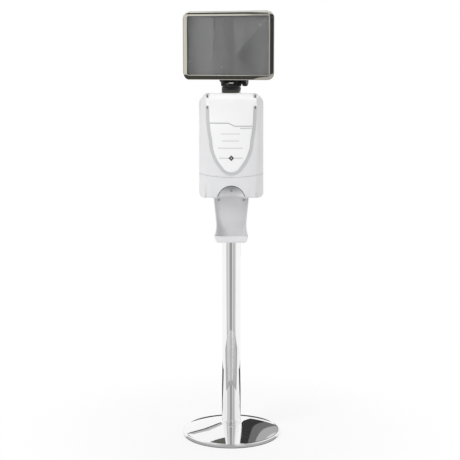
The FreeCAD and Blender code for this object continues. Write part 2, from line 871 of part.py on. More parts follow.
def mount_pieces():
    """The plate and the two split clamps that hold the dispenser to the pole."""
    plate_back = "case_back + mount_thick"
    plate = block("mount_blank", ("mount_width", "mount_thick", "mount_height"),
                  ("-mount_width / 2", "case_back", "mount_low"))
    drilled = housing_screw_rods("mount_hole", "screw_radius + fit_gap")
    node("mount_plate", cut("mount_drilled", plate, *drilled))
    for label, low in (("lower", "clamp_low_at"), ("upper", "clamp_high_at")):
        hole = rod(f"{label}_clamp_hole", "pole_radius", "clamp_height", ("0", "0", low))
        hole_again = rod(f"{label}_band_hole", "pole_radius", "clamp_height", ("0", "0", low))
        saddle = block(f"{label}_saddle", ("clamp_width", f"-({plate_back}) - clamp_split", "clamp_height"),
                       ("-clamp_width / 2", plate_back, low))
        bolts_in = clamp_rods(f"{label}_front_bore", "clamp_bolt_radius + fit_gap * 0.5", low)
        node(f"clamp_{label}_front", cut(f"{label}_front", saddle, hole, *bolts_in))
        band = rod(f"{label}_band", "pole_radius + clamp_band", "clamp_height", ("0", "0", low))
        ear = block(f"{label}_ear", ("clamp_width", "clamp_ear", "clamp_height"),
                    ("-clamp_width / 2", "clamp_split", low))
        keep = block(f"{label}_keep", ("clamp_width", "clamp_width", "clamp_height"),
                     ("-clamp_width / 2", "clamp_split", low))
        rear = common(f"{label}_rear_half", join(f"{label}_rear_blank", band, ear), keep)
        bolts_back = clamp_rods(f"{label}_rear_bore", "clamp_bolt_radius + fit_gap", low)
        node(f"clamp_{label}_rear", cut(f"{label}_rear", rear, hole_again, *bolts_back))
    bolts = []
    for label, low in (("lower", "clamp_low_at"), ("upper", "clamp_high_at")):
        for index, shank in enumerate(clamp_rods(f"{label}_bolt", "clamp_bolt_radius", low)):
            x = f"{index * 2 - 1} * (clamp_width / 2 - clamp_bolt_inset)"
            z = f"{low} + clamp_height / 2"
            rear = "clamp_split + clamp_ear"
            head = rod(f"{label}_bolt_head_{index}", "clamp_bolt_head", "clamp_bolt_head", (x, rear, z), "Y")
            socket = prism(f"{label}_bolt_socket_{index}", 6, "clamp_bolt_head * 0.55", "clamp_socket",
                           (x, f"{rear} + clamp_bolt_head - clamp_socket", z), "Y")
            blank = join(f"{label}_bolt_blank_{index}", shank, head)
            bolts.append(cut(f"{label}_bolt_solid_{index}", blank, socket))
    node("clamp_bolts", group("clamp_bolt_set", *bolts))


def clamp_rods(name, radius, low):
    """Two rods at a clamp's bolts, from the rear ear into the saddle."""
    rods = []
    for side in (-1, 1):
        at = (f"{side} * (clamp_width / 2 - clamp_bolt_inset)", "-clamp_bolt_reach", f"{low} + clamp_height / 2")
        rods.append(rod(f"{name}_{len(rods)}", radius, "clamp_bolt_reach + clamp_split + clamp_ear", at, "Y"))
    return rods


def case_pieces():
    """The back tub, the lower housing, and the cover that lifts on a hinge along its top."""
    split = "case_back - split_depth"
    hinge_y = "case_back - hinge_depth"
    cover_edge = f"{hinge_y} - hinge_radius - 0.7"
    tub_edge = f"{hinge_y} + hinge_radius + 0.5"
    shell = cut("case_shell", case_form("case_outside", "0"), case_form("case_inside", "case_wall"))
    fixed = [("-knuckle_end", "-knuckle_outer - knuckle_side_gap"),
             ("-knuckle_inner + knuckle_side_gap", "knuckle_inner - knuckle_side_gap"),
             ("knuckle_outer + knuckle_side_gap", "knuckle_end")]
    moving = [("-knuckle_outer", "-knuckle_inner"), ("knuckle_inner", "knuckle_outer")]
    tub = common("tub_ring", shell, between("tub_slab", "case_back", split))
    tub_open = cut("tub_hinge_room", tub,
                   between("tub_notch", tub_edge, f"{split} - 5", f"case_top - hinge_radius * 2 - 2"))
    shelf = bottle_shelf()
    bosses = housing_bosses()
    tub_solid = join("tub_solid", tub_open, *barrel("tub_barrel", "hinge_radius", fixed),
                     *arms("tub_arm", fixed, f"{tub_edge} + 1", hinge_y), shelf, *bosses)
    tub_tools = barrel("tub_bore", "hinge_pin_radius + hinge_pin_gap", fixed)
    tub_tools += housing_screw_rods("tub_hole", "screw_radius + fit_gap")
    node("back_housing", cut("tub_finished", tub_solid, *tub_tools))
    forward = between("forward_slab", f"{split} - seam_gap / 2", "case_front - 30")
    lower = common("lower_ring", shell, forward, seam_region("below_seam", False, "seam_gap / 2"))
    arch = rod("bay_arch", "bay_radius", "100", ("0", "bay_depth_axis - 60", "bay_axis"), "Y")
    node("lower_housing", cut("lower_finished", lower, arch, bay_floor_cut()))
    upper = common("cover_ring", shell, forward, seam_region("above_seam", True, "seam_gap / 2"))
    cover_open = cut("cover_hinge_room", upper,
                     between("cover_notch", f"{split} + 1", cover_edge, f"case_top - hinge_radius * 2 - 2"))
    cover_solid = join("cover_solid", cover_open, *barrel("cover_barrel", "hinge_radius", moving),
                       *arms("cover_arm", moving, hinge_y, f"{cover_edge} - 1"))
    cover_tools = barrel("cover_bore", "hinge_pin_radius + hinge_pin_gap", moving) + lug_slots("cover_slot")
    node("front_cover", cut("cover_finished", cover_solid, *cover_tools))
    node("cover_hinge_pin", barrel("hinge_pin", "hinge_pin_radius", [("-knuckle_end", "knuckle_end")])[0])


def lug_slots(name):
    """A slot above and below the lug on each side of the cover's crown."""
    slots = []
    for side in (-1, 1):
        x = f"{side} * (shield_half + rim_width * 0.55) - slot_width / 2"
        for low in ("lug_high + slot_gap", "lug_low - slot_height - slot_gap"):
            slots.append(block(f"{name}_{len(slots)}", ("slot_width", "slot_depth", "slot_height"),
                               (x, "case_front - slot_gap", low)))
    return slots


def bay_floor_cut():
    """The mouth of the bay through the case's floor."""
    ahead = block("bay_mouth_front", ("bay_radius * 2", "60", "20"),
                  ("-bay_radius", "bay_depth_axis - 60", "case_low - 10"))
    behind = rod("bay_mouth_back", "bay_radius", "20", ("0", "bay_depth_axis", "case_low - 10"))
    return join("bay_mouth", ahead, behind)


def shield_outline(outset):
    """The shield's outline on the cover's front, let out by an outset and open at the top."""
    tip = f"shield_tip - ({outset})"
    low_half = f"(shield_tip_half + ({outset}) * 0.86)"
    low = f"(shield_tip + shield_tip_rise - ({outset}) * 0.5)"
    hip_half = f"(shield_hip_half + ({outset}) * 0.96)"
    hip = f"(shield_tip + shield_hip_rise - ({outset}) * 0.25)"
    half = f"(shield_half + ({outset}))"
    full = "(shield_tip + shield_rise)"
    return [
        (f"-{low_half}", low, f"{low} - ({tip})"),
        (low_half, low, "shield_hip_swell"),
        (hip_half, hip, "shield_half_swell"),
        (half, full),
        (half, "case_top + 10"),
        (f"-{half}", "case_top + 10"),
        (f"-{half}", full, "shield_half_swell"),
        (f"-{hip_half}", hip, "shield_hip_swell"),
    ]


def lug_field(name, gap):
    """The band of the front that the two lugs reach across."""
    half = f"(shield_half + rim_width + ({gap}))"
    return block(name, (f"{half} * 2", "100", f"lug_high - lug_low + 2 * ({gap})"),
                 (f"-{half}", "case_front - 20", f"lug_low - ({gap})"))


def shield_pieces():
    """The grey rim in its channel and the white panel whose lugs reach across it."""
    depth = ("case_front + 60", "90")
    rim_field = extruded("rim_field", "XZ_Plane", shield_outline("rim_width"), *depth)
    rim_hole = extruded("rim_hole", "XZ_Plane", shield_outline("0"), *depth)
    panel_field = join("panel_area", extruded("panel_field", "XZ_Plane", shield_outline("-panel_gap"), *depth),
                       lug_field("panel_lugs", "0"))
    hinge_room = between("shield_limit", "case_back - hinge_depth - hinge_radius - 2", "case_front - 20")
    rim_area = cut("rim_area", rim_field, rim_hole, lug_field("rim_lugs", "panel_gap"))
    rim = common("rim_skin", case_form("rim_form", "-rim_proud"), rim_area, hinge_room)
    node("shield_rim", cut("rim_finished", rim, case_form("rim_core", "0"), *lug_slots("rim_slot")))
    panel = common("panel_skin", case_form("panel_form", "-panel_proud"), panel_field, hinge_room)
    node("shield_panel", cut("panel_finished", panel, case_form("panel_core", "0")))



# Driving sizes of what the case holds.
sizes(
    screw_radius=2,
    screw_head=4,
    screw_reach=42,
    screw_level_low=895,
    screw_level_high=1120,
    shelf_z=982,
    shelf_thick=3,
    shelf_half=60,
    shelf_front=-142,
    bottle_half=54,
    bottle_back=-66,
    bottle_front=-146,
    bottle_top=1168,
    bottle_round=12,
    bottle_y=-112,
    neck_radius=14,
    neck_length=16,
    neck_gap=0.5,
    collar_radius=19,
    collar_length=16,
    pump_radius=11,
    pump_low=925,
    lift_low=903,
    lift_thick=4,
    lift_hole=11.5,
    rack_thick=6,
    rack_top=966,
    gear_module=1.5,
    gear_teeth=24,
    pinion_teeth=8,
    gear_width=8,
    gear_back=-110,
    gear_backlash=0.35,
    gear_axis_x=66,
    gear_axis_z=932,
    axle_radius=3,
    axle_gap=0.06,
    motor_radius=11,
    motor_length=34,
    motor_shaft=1.5,
    board_width=52,
    board_height=62,
    board_thick=1.6,
    board_boss=3,
    board_x=-92,
    board_low=905,
    battery_width=34,
    battery_depth=50,
    battery_height=128,
    battery_x=64,
    battery_low=1010,
    battery_boss_depth=4,
    board_boss_radius=3,
    board_boss_inset=5,
    motor_stand_off=4,
    motor_nose=8,
    yoke_left=22,
    yoke_front=12,
    yoke_depth=34,
    window_height=9,
)
PITCH_RADIUS = "(gear_module * gear_teeth / 2)"
PINION_Z = "(gear_axis_z + gear_module * (gear_teeth + pinion_teeth) / 2)"


def bottle_shelf():
    """The shelf of the back housing that the bottle hangs in by its neck."""
    inner = "case_back - case_wall"
    plate = block("shelf_plate", ("shelf_half * 2", f"{inner} - shelf_front + 1", "shelf_thick"),
                  ("-shelf_half", "shelf_front", "shelf_z"))
    hole = rod("shelf_hole", "neck_radius + neck_gap", "shelf_thick", ("0", "bottle_y", "shelf_z"))
    slot = block("shelf_slot", ("(neck_radius + neck_gap) * 2", "60", "shelf_thick"),
                 ("-neck_radius - neck_gap", "bottle_y - 60", "shelf_z"))
    return cut("shelf", plate, hole, slot)


def housing_bosses():
    """Bosses on the back housing for the gear's axle, the motor and the circuit board."""
    inner = "case_back - case_wall + 1"
    axle_end = "gear_back - gear_width - 2"
    motor_face = "gear_back + motor_stand_off"
    bosses = [
        rod("gear_boss", "axle_radius * 2", f"{inner} - gear_back - 0.3",
            ("gear_axis_x", "gear_back + 0.3", "gear_axis_z"), "Y"),
        rod("gear_axle", "axle_radius", f"{inner} - ({axle_end})", ("gear_axis_x", axle_end, "gear_axis_z"), "Y"),
        rod("motor_boss", "motor_radius * 0.8", f"{inner} - ({motor_face}) - motor_length",
            ("gear_axis_x", f"{motor_face} + motor_length", PINION_Z), "Y"),
        block("battery_boss", ("battery_width", "battery_boss_depth", "battery_height"),
              ("battery_x", f"{inner} - battery_boss_depth", "battery_low")),
    ]
    for column in ("board_boss_inset", "board_width - board_boss_inset"):
        for row in ("board_boss_inset", "board_height - board_boss_inset"):
            bosses.append(rod(f"board_boss_{len(bosses)}", "board_boss_radius", "board_boss + 1",
                              (f"board_x + {column}", f"{inner} - 1 - board_boss", f"board_low + {row}"), "Y"))
    return bosses


def housing_screw_rods(name, radius):
    """Six rods through the mount plate: two at the tray's neck and four at the case's back."""
    rods = []
    for column in (-1, 1):
        for level in ("tray_screw_level", "screw_level_low", "screw_level_high"):
            at = (f"{column} * screw_reach", "case_back - case_wall", level)
            rods.append(rod(f"{name}_{len(rods)}", radius, "case_wall + mount_thick", at, "Y"))
    return rods


def fixing_pieces():
    """The screws that hold the case's back and the tray's neck to the mount plate."""
    screws = []
    for shank in housing_screw_rods("housing_screw", "screw_radius"):
        cap = doc.addObject("Part::Cylinder", shank.Name + "_cap")
        bind(cap, Radius="screw_head", Height="2.5")
        cap.Placement.Rotation = ALONG["Y"]
        for axis in "xz":
            cap.setExpression(f"Placement.Base.{axis}", f"{shank.Name}.Placement.Base.{axis}")
        cap.setExpression("Placement.Base.y", bound("case_back - case_wall - 2.5"))
        screws.append(join(shank.Name + "_solid", shank, cap))
    node("housing_screws", group("housing_screw_set", *screws))


def bay_pieces():
    """The domed bay under the case's front, its foam nozzle and its sensor window."""
    def dome(name, radius):
        ball = doc.addObject("Part::Sphere", name + "_ball")
        bind(ball, Radius=radius)
        place(ball, ("0", "bay_depth_axis", "bay_axis"))
        back = common(name + "_back", ball,
                      block(name + "_back_half", ("bay_radius * 2", "bay_radius", "bay_radius * 2"),
                            ("-bay_radius", "bay_depth_axis", "bay_axis - bay_radius")))
        sleeve = rod(name + "_sleeve", radius, "bay_radius", ("0", "bay_depth_axis - bay_radius", "bay_axis"), "Y")
        return join(name, back, sleeve)
    outside = dome("bay_outside", "bay_radius - fit_gap * 2")
    inside = dome("bay_inside", "bay_radius - fit_gap * 2 - bay_wall")
    keep = between("bay_keep", "bay_depth_axis + bay_radius", "case_front - 20", "case_low", "case_top")
    shell = common("bay_shell", cut("bay_hollow", outside, inside), keep, case_form("bay_limit", "0"))
    nozzle_room = rod("nozzle_room", "nozzle_hole", "bay_radius", ("0", "nozzle_y", "bay_axis"))
    window_room = rod("window_room", "window_radius + fit_gap", "bay_radius", ("0", "window_y", "bay_axis"))
    node("nozzle_bay", cut("bay_finished", shell, nozzle_room, window_room))
    window_low = "bay_axis + bay_radius - fit_gap * 2 - bay_wall - 2"
    node("sensor_window", turned_at("window", [
        ("0", "0"),
        ("window_radius", "0"),
        ("window_radius", "window_height"),
        ("0", "window_height"),
    ], ("0", "window_y", window_low)))
    nozzle_length = "nozzle_top - nozzle_tip"
    node("nozzle", turned_at("nozzle_tube", [
        ("nozzle_bore", "0"),
        ("nozzle_tip_radius", "0"),
        ("nozzle_tip_radius + 0.4", "10"),
        ("nozzle_radius", "16"),
        ("nozzle_radius", nozzle_length),
        ("nozzle_bore", nozzle_length),
    ], ("0", "nozzle_y", "nozzle_tip")))


def turned_at(name, corners, at):
    """A turned piece set down at a place."""
    body = turned(name, corners)
    body.Placement = Placement(Vector(*(size(part) for part in at)), Rotation())
    return body


def bottle_pieces():
    """The refill bottle hung by its neck, its collar and the pump barrel under it."""
    depth = "bottle_back - bottle_front"
    tank = extruded("tank", "XY_Plane", [
        ("-bottle_half", "bottle_front"),
        ("bottle_half", "bottle_front"),
        ("bottle_half", "bottle_back"),
        ("-bottle_half", "bottle_back"),
    ], "shelf_z + shelf_thick + 0.3", "bottle_top - shelf_z - shelf_thick - 0.3")
    tank = eased(tank, "bottle_round", lambda edge: runs_along(edge, Vector(0, 0, 1)))
    neck = rod("bottle_neck", "neck_radius", "neck_length + 1",
               ("0", "bottle_y", "shelf_z + shelf_thick - neck_length"))
    node("refill_bottle", join("bottle", tank, neck))
    collar_top = "shelf_z - 0.3"
    collar_low = f"{collar_top} - collar_length"
    neck_low = "shelf_z + shelf_thick - neck_length"
    node("bottle_collar", cut(
        "collar_ring",
        rod("collar_blank", "collar_radius", "collar_length", ("0", "bottle_y", collar_low)),
        rod("collar_bore", "neck_radius + fit_gap", f"{collar_top} - ({neck_low})", ("0", "bottle_y", neck_low)),
    ))
    pump_top = rod("pump_head", "pump_radius + 4", "6", ("0", "bottle_y", f"{collar_low} - 6"))
    barrel_length = f"{collar_low} - pump_low"
    pump = rod("pump_barrel", "pump_radius", barrel_length, ("0", "bottle_y", "pump_low"))
    spout = rod("pump_spout", "nozzle_radius + 3", "6", ("0", "nozzle_y", "pump_low"))
    bridge = block("pump_bridge", ("pump_radius * 1.6", "bottle_y - nozzle_y", "6"),
                   ("-pump_radius * 0.8", "nozzle_y", "pump_low"))
    node("pump_cylinder", join("pump", pump_top, pump, spout, bridge))


def wheel(name, teeth, width, bore, extra=""):
    """A spur gear along Y from its back face, with straight-flanked teeth worked out from the module."""
    count = int(size(teeth))
    module = size("gear_module")
    pitch = module * count / 2
    root = pitch - 1.2 * module
    tip = pitch + 0.9 * module
    half_pitch = (math.pi * module / 2 - size("gear_backlash")) / 2 / pitch
    half_root = half_pitch * 1.35
    half_tip = half_pitch * 0.5 * pitch / tip
    points = []
    for index in range(count):
        middle = 2 * math.pi * index / count
        for radius, angle in ((root, -half_root), (tip, -half_tip), (tip, half_tip), (root, half_root)):
            points.append(Vector(radius * math.cos(middle + angle), radius * math.sin(middle + angle), 0))
    face = Part.Face(Part.makePolygon(points + points[:1]))
    solid = face.extrude(Vector(0, 0, size(width)))
    if size(bore):
        solid = solid.cut(Part.makeCylinder(size(bore), size(width)))
    thing = doc.addObject("Part::Feature", name)
    thing.Shape = solid
    return thing


def drive_pieces():
    """The motor's pinion, the drive gear and the lift whose rack it raises."""
    gear = wheel("gear_blank", "gear_teeth", "gear_width", "axle_radius + axle_gap")
    gear.Placement = Placement(Vector(size("gear_axis_x"), size("gear_back"), size("gear_axis_z")),
                               Rotation(Vector(1, 0, 0), 90))
    node("drive_gear", gear)
    pinion = wheel("pinion_blank", "pinion_teeth", "gear_width", "0")
    centre_z = size(PINION_Z)
    half_tooth = 180 / size("pinion_teeth")
    turn = Rotation(Vector(1, 0, 0), 90).multiply(Rotation(Vector(0, 0, 1), -90 + half_tooth))
    pinion.Placement = Placement(Vector(size("gear_axis_x"), size("gear_back"), centre_z), turn)
    shaft = rod("pinion_shaft", "motor_shaft", "gear_width + 10",
                ("gear_axis_x", "gear_back - gear_width", PINION_Z), "Y")
    node("motor_pinion", join("pinion_solid", pinion, shaft))
    motor_face = "gear_back + motor_stand_off"
    can = rod("motor_can", "motor_radius", "motor_length", ("gear_axis_x", motor_face, PINION_Z), "Y")
    nose_hole = rod("motor_hole", "motor_shaft + axle_gap", "motor_nose",
                    ("gear_axis_x", motor_face, PINION_Z), "Y")
    node("motor", cut("motor_solid", can, nose_hole))
    lift_pieces()


def lift_pieces():
    """The lift: a yoke under the pump's spout with a toothed rack at its side."""
    pitch_x = f"gear_axis_x - {PITCH_RADIUS}"
    rack_right = f"{pitch_x} - gear_module * 1.2"
    module = size("gear_module")
    step = math.pi * module
    half = (step / 2 - size("gear_backlash")) / 2
    root_x = size(rack_right)
    tip_x = size(f"{pitch_x} + gear_module * 0.9")
    low = size("lift_low")
    high = size("rack_top")
    gear_z = size("gear_axis_z")
    first = math.ceil((low + 8 - gear_z) / step - 0.5)
    last = math.floor((high - 3 - gear_z) / step - 0.5)
    left = root_x - size("rack_thick")
    points = [Vector(left, 0, low), Vector(root_x, 0, low)]
    for index in range(first, last + 1):
        middle = gear_z + (index + 0.5) * step
        for x, drop in ((root_x, -1.35), (tip_x, -0.5), (tip_x, 0.5), (root_x, 1.35)):
            points.append(Vector(x, 0, middle + drop * half))
    points += [Vector(root_x, 0, high), Vector(left, 0, high)]
    solid = Part.Face(Part.makePolygon(points + points[:1])).extrude(Vector(0, -size("gear_width"), 0))
    rack = doc.addObject("Part::Feature", "rack")
    rack.Shape = solid
    rack.Placement = Placement(Vector(0, size("gear_back"), 0), Rotation())
    yoke_right = f"{rack_right} - rack_thick + 1"
    yoke = block("yoke", (f"{yoke_right} + yoke_left", "yoke_depth", "lift_thick"),
                 ("-yoke_left", "nozzle_y - yoke_front", "lift_low"))
    hole = rod("yoke_hole", "lift_hole", "lift_thick", ("0", "nozzle_y", "lift_low"))
    node("pump_lift", join("lift", cut("yoke_open", yoke, hole), rack))


def electrical_pieces():
    """The circuit board on its bosses and the battery box beside the bottle."""
    wall = "case_back - case_wall"
    node("circuit_board", block("board", ("board_width", "board_thick", "board_height"),
                                ("board_x", f"{wall} - board_boss - board_thick", "board_low")))
    box = block("battery_blank", ("battery_width", "battery_depth", "battery_height"),
                ("battery_x", f"{wall} - 3 - battery_depth", "battery_low"))
    node("battery_box", box)


def tray_pieces():
    """The hand tray: a neck that hangs behind the case's foot and a flared cup."""
    def field(name, inset, open_front):
        back = f"tray_back - ({inset})"
        low = f"tray_low + ({inset})"
        front = f"tray_front + ({inset})"
        heel = f"(tray_heel - ({inset}))"
        toe = f"(tray_toe - ({inset}))"
        if open_front:
            side_corners = [
                (f"{front} + {toe}", low),
                (f"{back} - {heel}", low, f"{heel} * 0.29289"),
                (back, f"{low} + {heel}"),
                (back, "tray_top + 20"),
                (front, "tray_top + 20"),
                (front, f"{low} + {toe}", f"{toe} * 0.29289"),
            ]
        else:
            side_corners = [
                (f"{front} + {toe}", low),
                (f"{back} - {heel}", low, f"{heel} * 0.29289"),
                (back, f"{low} + {heel}"),
                (back, "tray_top"),
                (f"{back} - tray_neck_depth", "tray_top"),
                (f"{back} - tray_neck_depth", "tray_neck_low", "-12"),
                (front, "tray_rim"),
                (front, f"{low} + {toe}", f"{toe} * 0.29289"),
            ]
        side = extruded(name + "_side", "YZ_Plane", side_corners, "-100", "200")
        top = "tray_top + 20" if open_front else "tray_top"
        top_half = f"(tray_top_half - ({inset}))"
        waist_half = f"(tray_waist_half - ({inset}))"
        cup_half = f"(tray_cup_half - ({inset}))"
        foot_half = f"(tray_foot_half - ({inset}))"
        face = extruded(name + "_face", "XZ_Plane", [
            (f"-{foot_half}", low),
            (foot_half, low, "3"),
            (cup_half, "tray_low + 18"),
            (waist_half, "tray_waist", "-2"),
            (top_half, top),
            (f"-{top_half}", top, "-2"),
            (f"-{waist_half}", "tray_waist"),
            (f"-{cup_half}", "tray_low + 18", "3"),
        ], "tray_back + 30", "tray_back - tray_front + 60")
        return common(name, side, face)
    inside = field("tray_inside", "tray_wall", True)
    holes = housing_screw_rods("tray_hole", "screw_radius + fit_gap")
    node("catch_tray", cut("tray_shell", field("tray_outside", "0", False), inside, *holes))


def write_nodes():
    """Check every object, then write each named piece to its own file."""
    doc.recompute()
    for thing in doc.Objects:
        if "Invalid" in thing.State or "Error" in thing.State:
            raise RuntimeError(f"{thing.Name} did not build: {thing.State} {thing.getStatusString()}")
    for label, thing in nodes.items():
        if thing.Shape.isNull() or not thing.Shape.isValid():
            raise RuntimeError(f"{label} has no valid shape")
        thing.Shape.exportStep(f"parts/{label}.step")
    print(len(nodes), "pieces written")


base_pieces()
pole_pieces()
head_pieces()
sign_frame()
sign_sheets()
tilt_pieces()
mount_pieces()
case_pieces()
shield_pieces()
fixing_pieces()
bay_pieces()
bottle_pieces()
drive_pieces()
electrical_pieces()
tray_pieces()
write_nodes()
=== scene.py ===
# %% [markdown]
# # A touch-free hand gel stand
# The measured solids of this stand come from a CAD program, and this file dresses them: it gives every
# solid its finish, replaces the ones whose shine shows each facet, and adds the small things that a
# camera would notice. The solids stay where they are, because the joints turn about them. A piece that
# is made here is built in place and then rides on the body that its solid belongs to.

# %% The measured frame
import json
import math

import bmesh
import bpy
from mathutils import Matrix, Vector


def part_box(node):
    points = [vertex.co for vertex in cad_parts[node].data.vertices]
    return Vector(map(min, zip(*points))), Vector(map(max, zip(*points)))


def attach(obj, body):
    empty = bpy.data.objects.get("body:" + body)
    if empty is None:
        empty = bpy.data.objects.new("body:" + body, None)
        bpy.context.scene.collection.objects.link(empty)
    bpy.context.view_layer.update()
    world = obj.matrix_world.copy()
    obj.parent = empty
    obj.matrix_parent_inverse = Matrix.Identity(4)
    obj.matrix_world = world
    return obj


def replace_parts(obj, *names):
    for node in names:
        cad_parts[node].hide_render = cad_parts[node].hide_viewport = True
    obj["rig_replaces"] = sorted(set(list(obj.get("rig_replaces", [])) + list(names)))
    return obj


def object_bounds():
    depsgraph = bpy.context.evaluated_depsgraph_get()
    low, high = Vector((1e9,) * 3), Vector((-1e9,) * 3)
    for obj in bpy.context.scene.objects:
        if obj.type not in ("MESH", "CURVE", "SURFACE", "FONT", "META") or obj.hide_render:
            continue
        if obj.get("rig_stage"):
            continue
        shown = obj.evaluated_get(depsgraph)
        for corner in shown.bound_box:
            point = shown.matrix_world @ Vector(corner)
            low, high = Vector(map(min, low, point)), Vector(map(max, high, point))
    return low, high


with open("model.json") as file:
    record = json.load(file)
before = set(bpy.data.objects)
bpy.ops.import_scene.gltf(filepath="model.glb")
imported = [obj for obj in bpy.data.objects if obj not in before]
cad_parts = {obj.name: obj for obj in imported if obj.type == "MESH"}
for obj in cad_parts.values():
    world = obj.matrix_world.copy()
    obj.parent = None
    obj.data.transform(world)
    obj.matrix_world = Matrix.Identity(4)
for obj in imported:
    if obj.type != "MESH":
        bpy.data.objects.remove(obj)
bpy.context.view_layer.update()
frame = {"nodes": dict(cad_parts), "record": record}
nodes = frame["nodes"]
slot_of = {row["node"]: row["material_slot"] for row in frame["record"]["subparts"]}
bodies = frame["record"]["behaviour"]["bodies"]
body_of = {name: body for body, names in bodies.items() for name in names}
MM = 0.001

# %% [markdown]
# ## Marks that many finishes share
# Plastic, paint and metal differ in colour and gloss, yet all of them carry the same few traces: a grain
# from the mould or the powder, smudges from hands, edges rubbed lighter, and dust on what faces up. Each
# trace is a node group with named inputs, so a finish only has to say how strong it is. Painting them on
# an image would tie them to one unwrapping of the mesh; noise read in object space needs none.


# %% Node helpers
def new_group(name, inputs, outputs):
    """An empty shader node group with number inputs and the outputs given as name: socket type."""
    group = bpy.data.node_groups.new(name, "ShaderNodeTree")
    for label, value in inputs.items():
        socket = group.interface.new_socket(label, in_out="INPUT", socket_type="NodeSocketFloat")
        socket.default_value = value
    for label, kind in outputs.items():
        group.interface.new_socket(label, in_out="OUTPUT", socket_type=kind)
    return group, group.nodes.new("NodeGroupInput"), group.nodes.new("NodeGroupOutput")


def add_node(tree, kind, **settings):
    """Add a node; settings that name an input socket are set there, or linked if they are sockets."""
    node = tree.nodes.new(kind)
    for key, value in settings.items():
        if hasattr(node, key):
            setattr(node, key, value)
    for key, value in settings.items():
        label = key.replace("_", " ")
        found = [s for s in node.inputs if s.name == label and s.enabled]
        if hasattr(node, key) or not found:
            continue
        if isinstance(value, bpy.types.NodeSocket):
            tree.links.new(value, found[0])
        else:
            found[0].default_value = value
    return node


def maths(tree, operation, first, second=0.0, clamp=False):
    """One Math node's value, from sockets or numbers."""
    node = tree.nodes.new("ShaderNodeMath")
    node.operation = operation
    node.use_clamp = clamp
    for socket, value in zip(node.inputs, (first, second)):
        if isinstance(value, bpy.types.NodeSocket):
            tree.links.new(value, socket)
        else:
            socket.default_value = value
    return node.outputs[0]


def ramp(tree, value, low, high, smooth=False):
    """A value's place between low and high, as 0 to 1."""
    kind = "SMOOTHSTEP" if smooth else "LINEAR"
    node = add_node(tree, "ShaderNodeMapRange", interpolation_type=kind, Value=value)
    for label, number in (("From Min", low), ("From Max", high)):
        if isinstance(number, bpy.types.NodeSocket):
            tree.links.new(number, node.inputs[label])
        else:
            node.inputs[label].default_value = number
    return node.outputs["Result"]


def blend_colours(tree, share, first, second):
    """Two colours mixed by a share, given as sockets or as RGBA."""
    node = tree.nodes.new("ShaderNodeMix")
    node.data_type = "RGBA"
    FACTOR, COLOUR_A, COLOUR_B = 0, 6, 7
    for place, value in ((FACTOR, share), (COLOUR_A, first), (COLOUR_B, second)):
        socket = node.inputs[place]
        if isinstance(value, bpy.types.NodeSocket):
            tree.links.new(value, socket)
        else:
            socket.default_value = value
    MIXED_COLOUR = 2
    return node.outputs[MIXED_COLOUR]


# %% The shared marks as node groups
VALUE = "NodeSocketFloat"

grain_group, grain_in, grain_out = new_group(
    "mould_grain", {"Scale": 900.0}, {"Height": VALUE, "Tone": VALUE})
place = grain_group.nodes.new("ShaderNodeTexCoord").outputs["Object"]
fine = add_node(grain_group, "ShaderNodeTexNoise", Vector=place, Scale=grain_in.outputs["Scale"],
                Detail=3.0)
broad = add_node(grain_group, "ShaderNodeTexNoise", Vector=place, Scale=14.0, Detail=4.0,
                 Roughness=0.6)
grain_group.links.new(fine.outputs["Fac"], grain_out.inputs["Height"])
grain_group.links.new(ramp(grain_group, broad.outputs["Fac"], 0.3, 0.7), grain_out.inputs["Tone"])

smudge_group, smudge_in, smudge_out = new_group("hand_smudges", {"Scale": 22.0}, {"Mask": VALUE})
place = smudge_group.nodes.new("ShaderNodeTexCoord").outputs["Object"]
patches = add_node(smudge_group, "ShaderNodeTexNoise", Vector=place, Scale=smudge_in.outputs["Scale"],
                   Detail=5.0, Roughness=0.55, Distortion=0.8)
streaks = add_node(smudge_group, "ShaderNodeTexNoise", Vector=place, Scale=130.0, Detail=2.0)
both = maths(smudge_group, "MULTIPLY", ramp(smudge_group, patches.outputs["Fac"], 0.42, 0.72, True),
             ramp(smudge_group, streaks.outputs["Fac"], 0.25, 0.6))
smudge_group.links.new(both, smudge_out.inputs["Mask"])

dust_group, dust_in, dust_out = new_group("settled_dust", {"Scale": 60.0}, {"Mask": VALUE})
place = dust_group.nodes.new("ShaderNodeTexCoord").outputs["Object"]
facing = add_node(dust_group, "ShaderNodeSeparateXYZ",
                  Vector=dust_group.nodes.new("ShaderNodeNewGeometry").outputs["Normal"])
specks = add_node(dust_group, "ShaderNodeTexNoise", Vector=place, Scale=dust_in.outputs["Scale"],
                  Detail=6.0, Roughness=0.7)
lying = maths(dust_group, "MULTIPLY", ramp(dust_group, facing.outputs["Z"], 0.55, 1.0, True),
              ramp(dust_group, specks.outputs["Fac"], 0.4, 0.75))
dust_group.links.new(lying, dust_out.inputs["Mask"])

wear_group, wear_in, wear_out = new_group("rubbed_edges", {"Scale": 180.0}, {"Mask": VALUE})
place = wear_group.nodes.new("ShaderNodeTexCoord").outputs["Object"]
crest = wear_group.nodes.new("ShaderNodeNewGeometry").outputs["Pointiness"]
chips = add_node(wear_group, "ShaderNodeTexNoise", Vector=place, Scale=wear_in.outputs["Scale"],
                 Detail=4.0)
worn = maths(wear_group, "MULTIPLY", ramp(wear_group, crest, 0.53, 0.6, True),
             ramp(wear_group, chips.outputs["Fac"], 0.4, 0.6))
wear_group.links.new(worn, wear_out.inputs["Mask"])
print("mark groups:", [g.name for g in bpy.data.node_groups])

# %% [markdown]
# ## Finishes
# A finish starts from a few numbers: colour, gloss, and how strong each mark is. One function wires them,
# because plastic, paint and plated steel differ only in those numbers. Anything that is the same all over
# a surface is typed into the shader's own socket, and only what changes over the surface is linked.


# %% One function for moulded, painted and plated finishes
finishes = {}


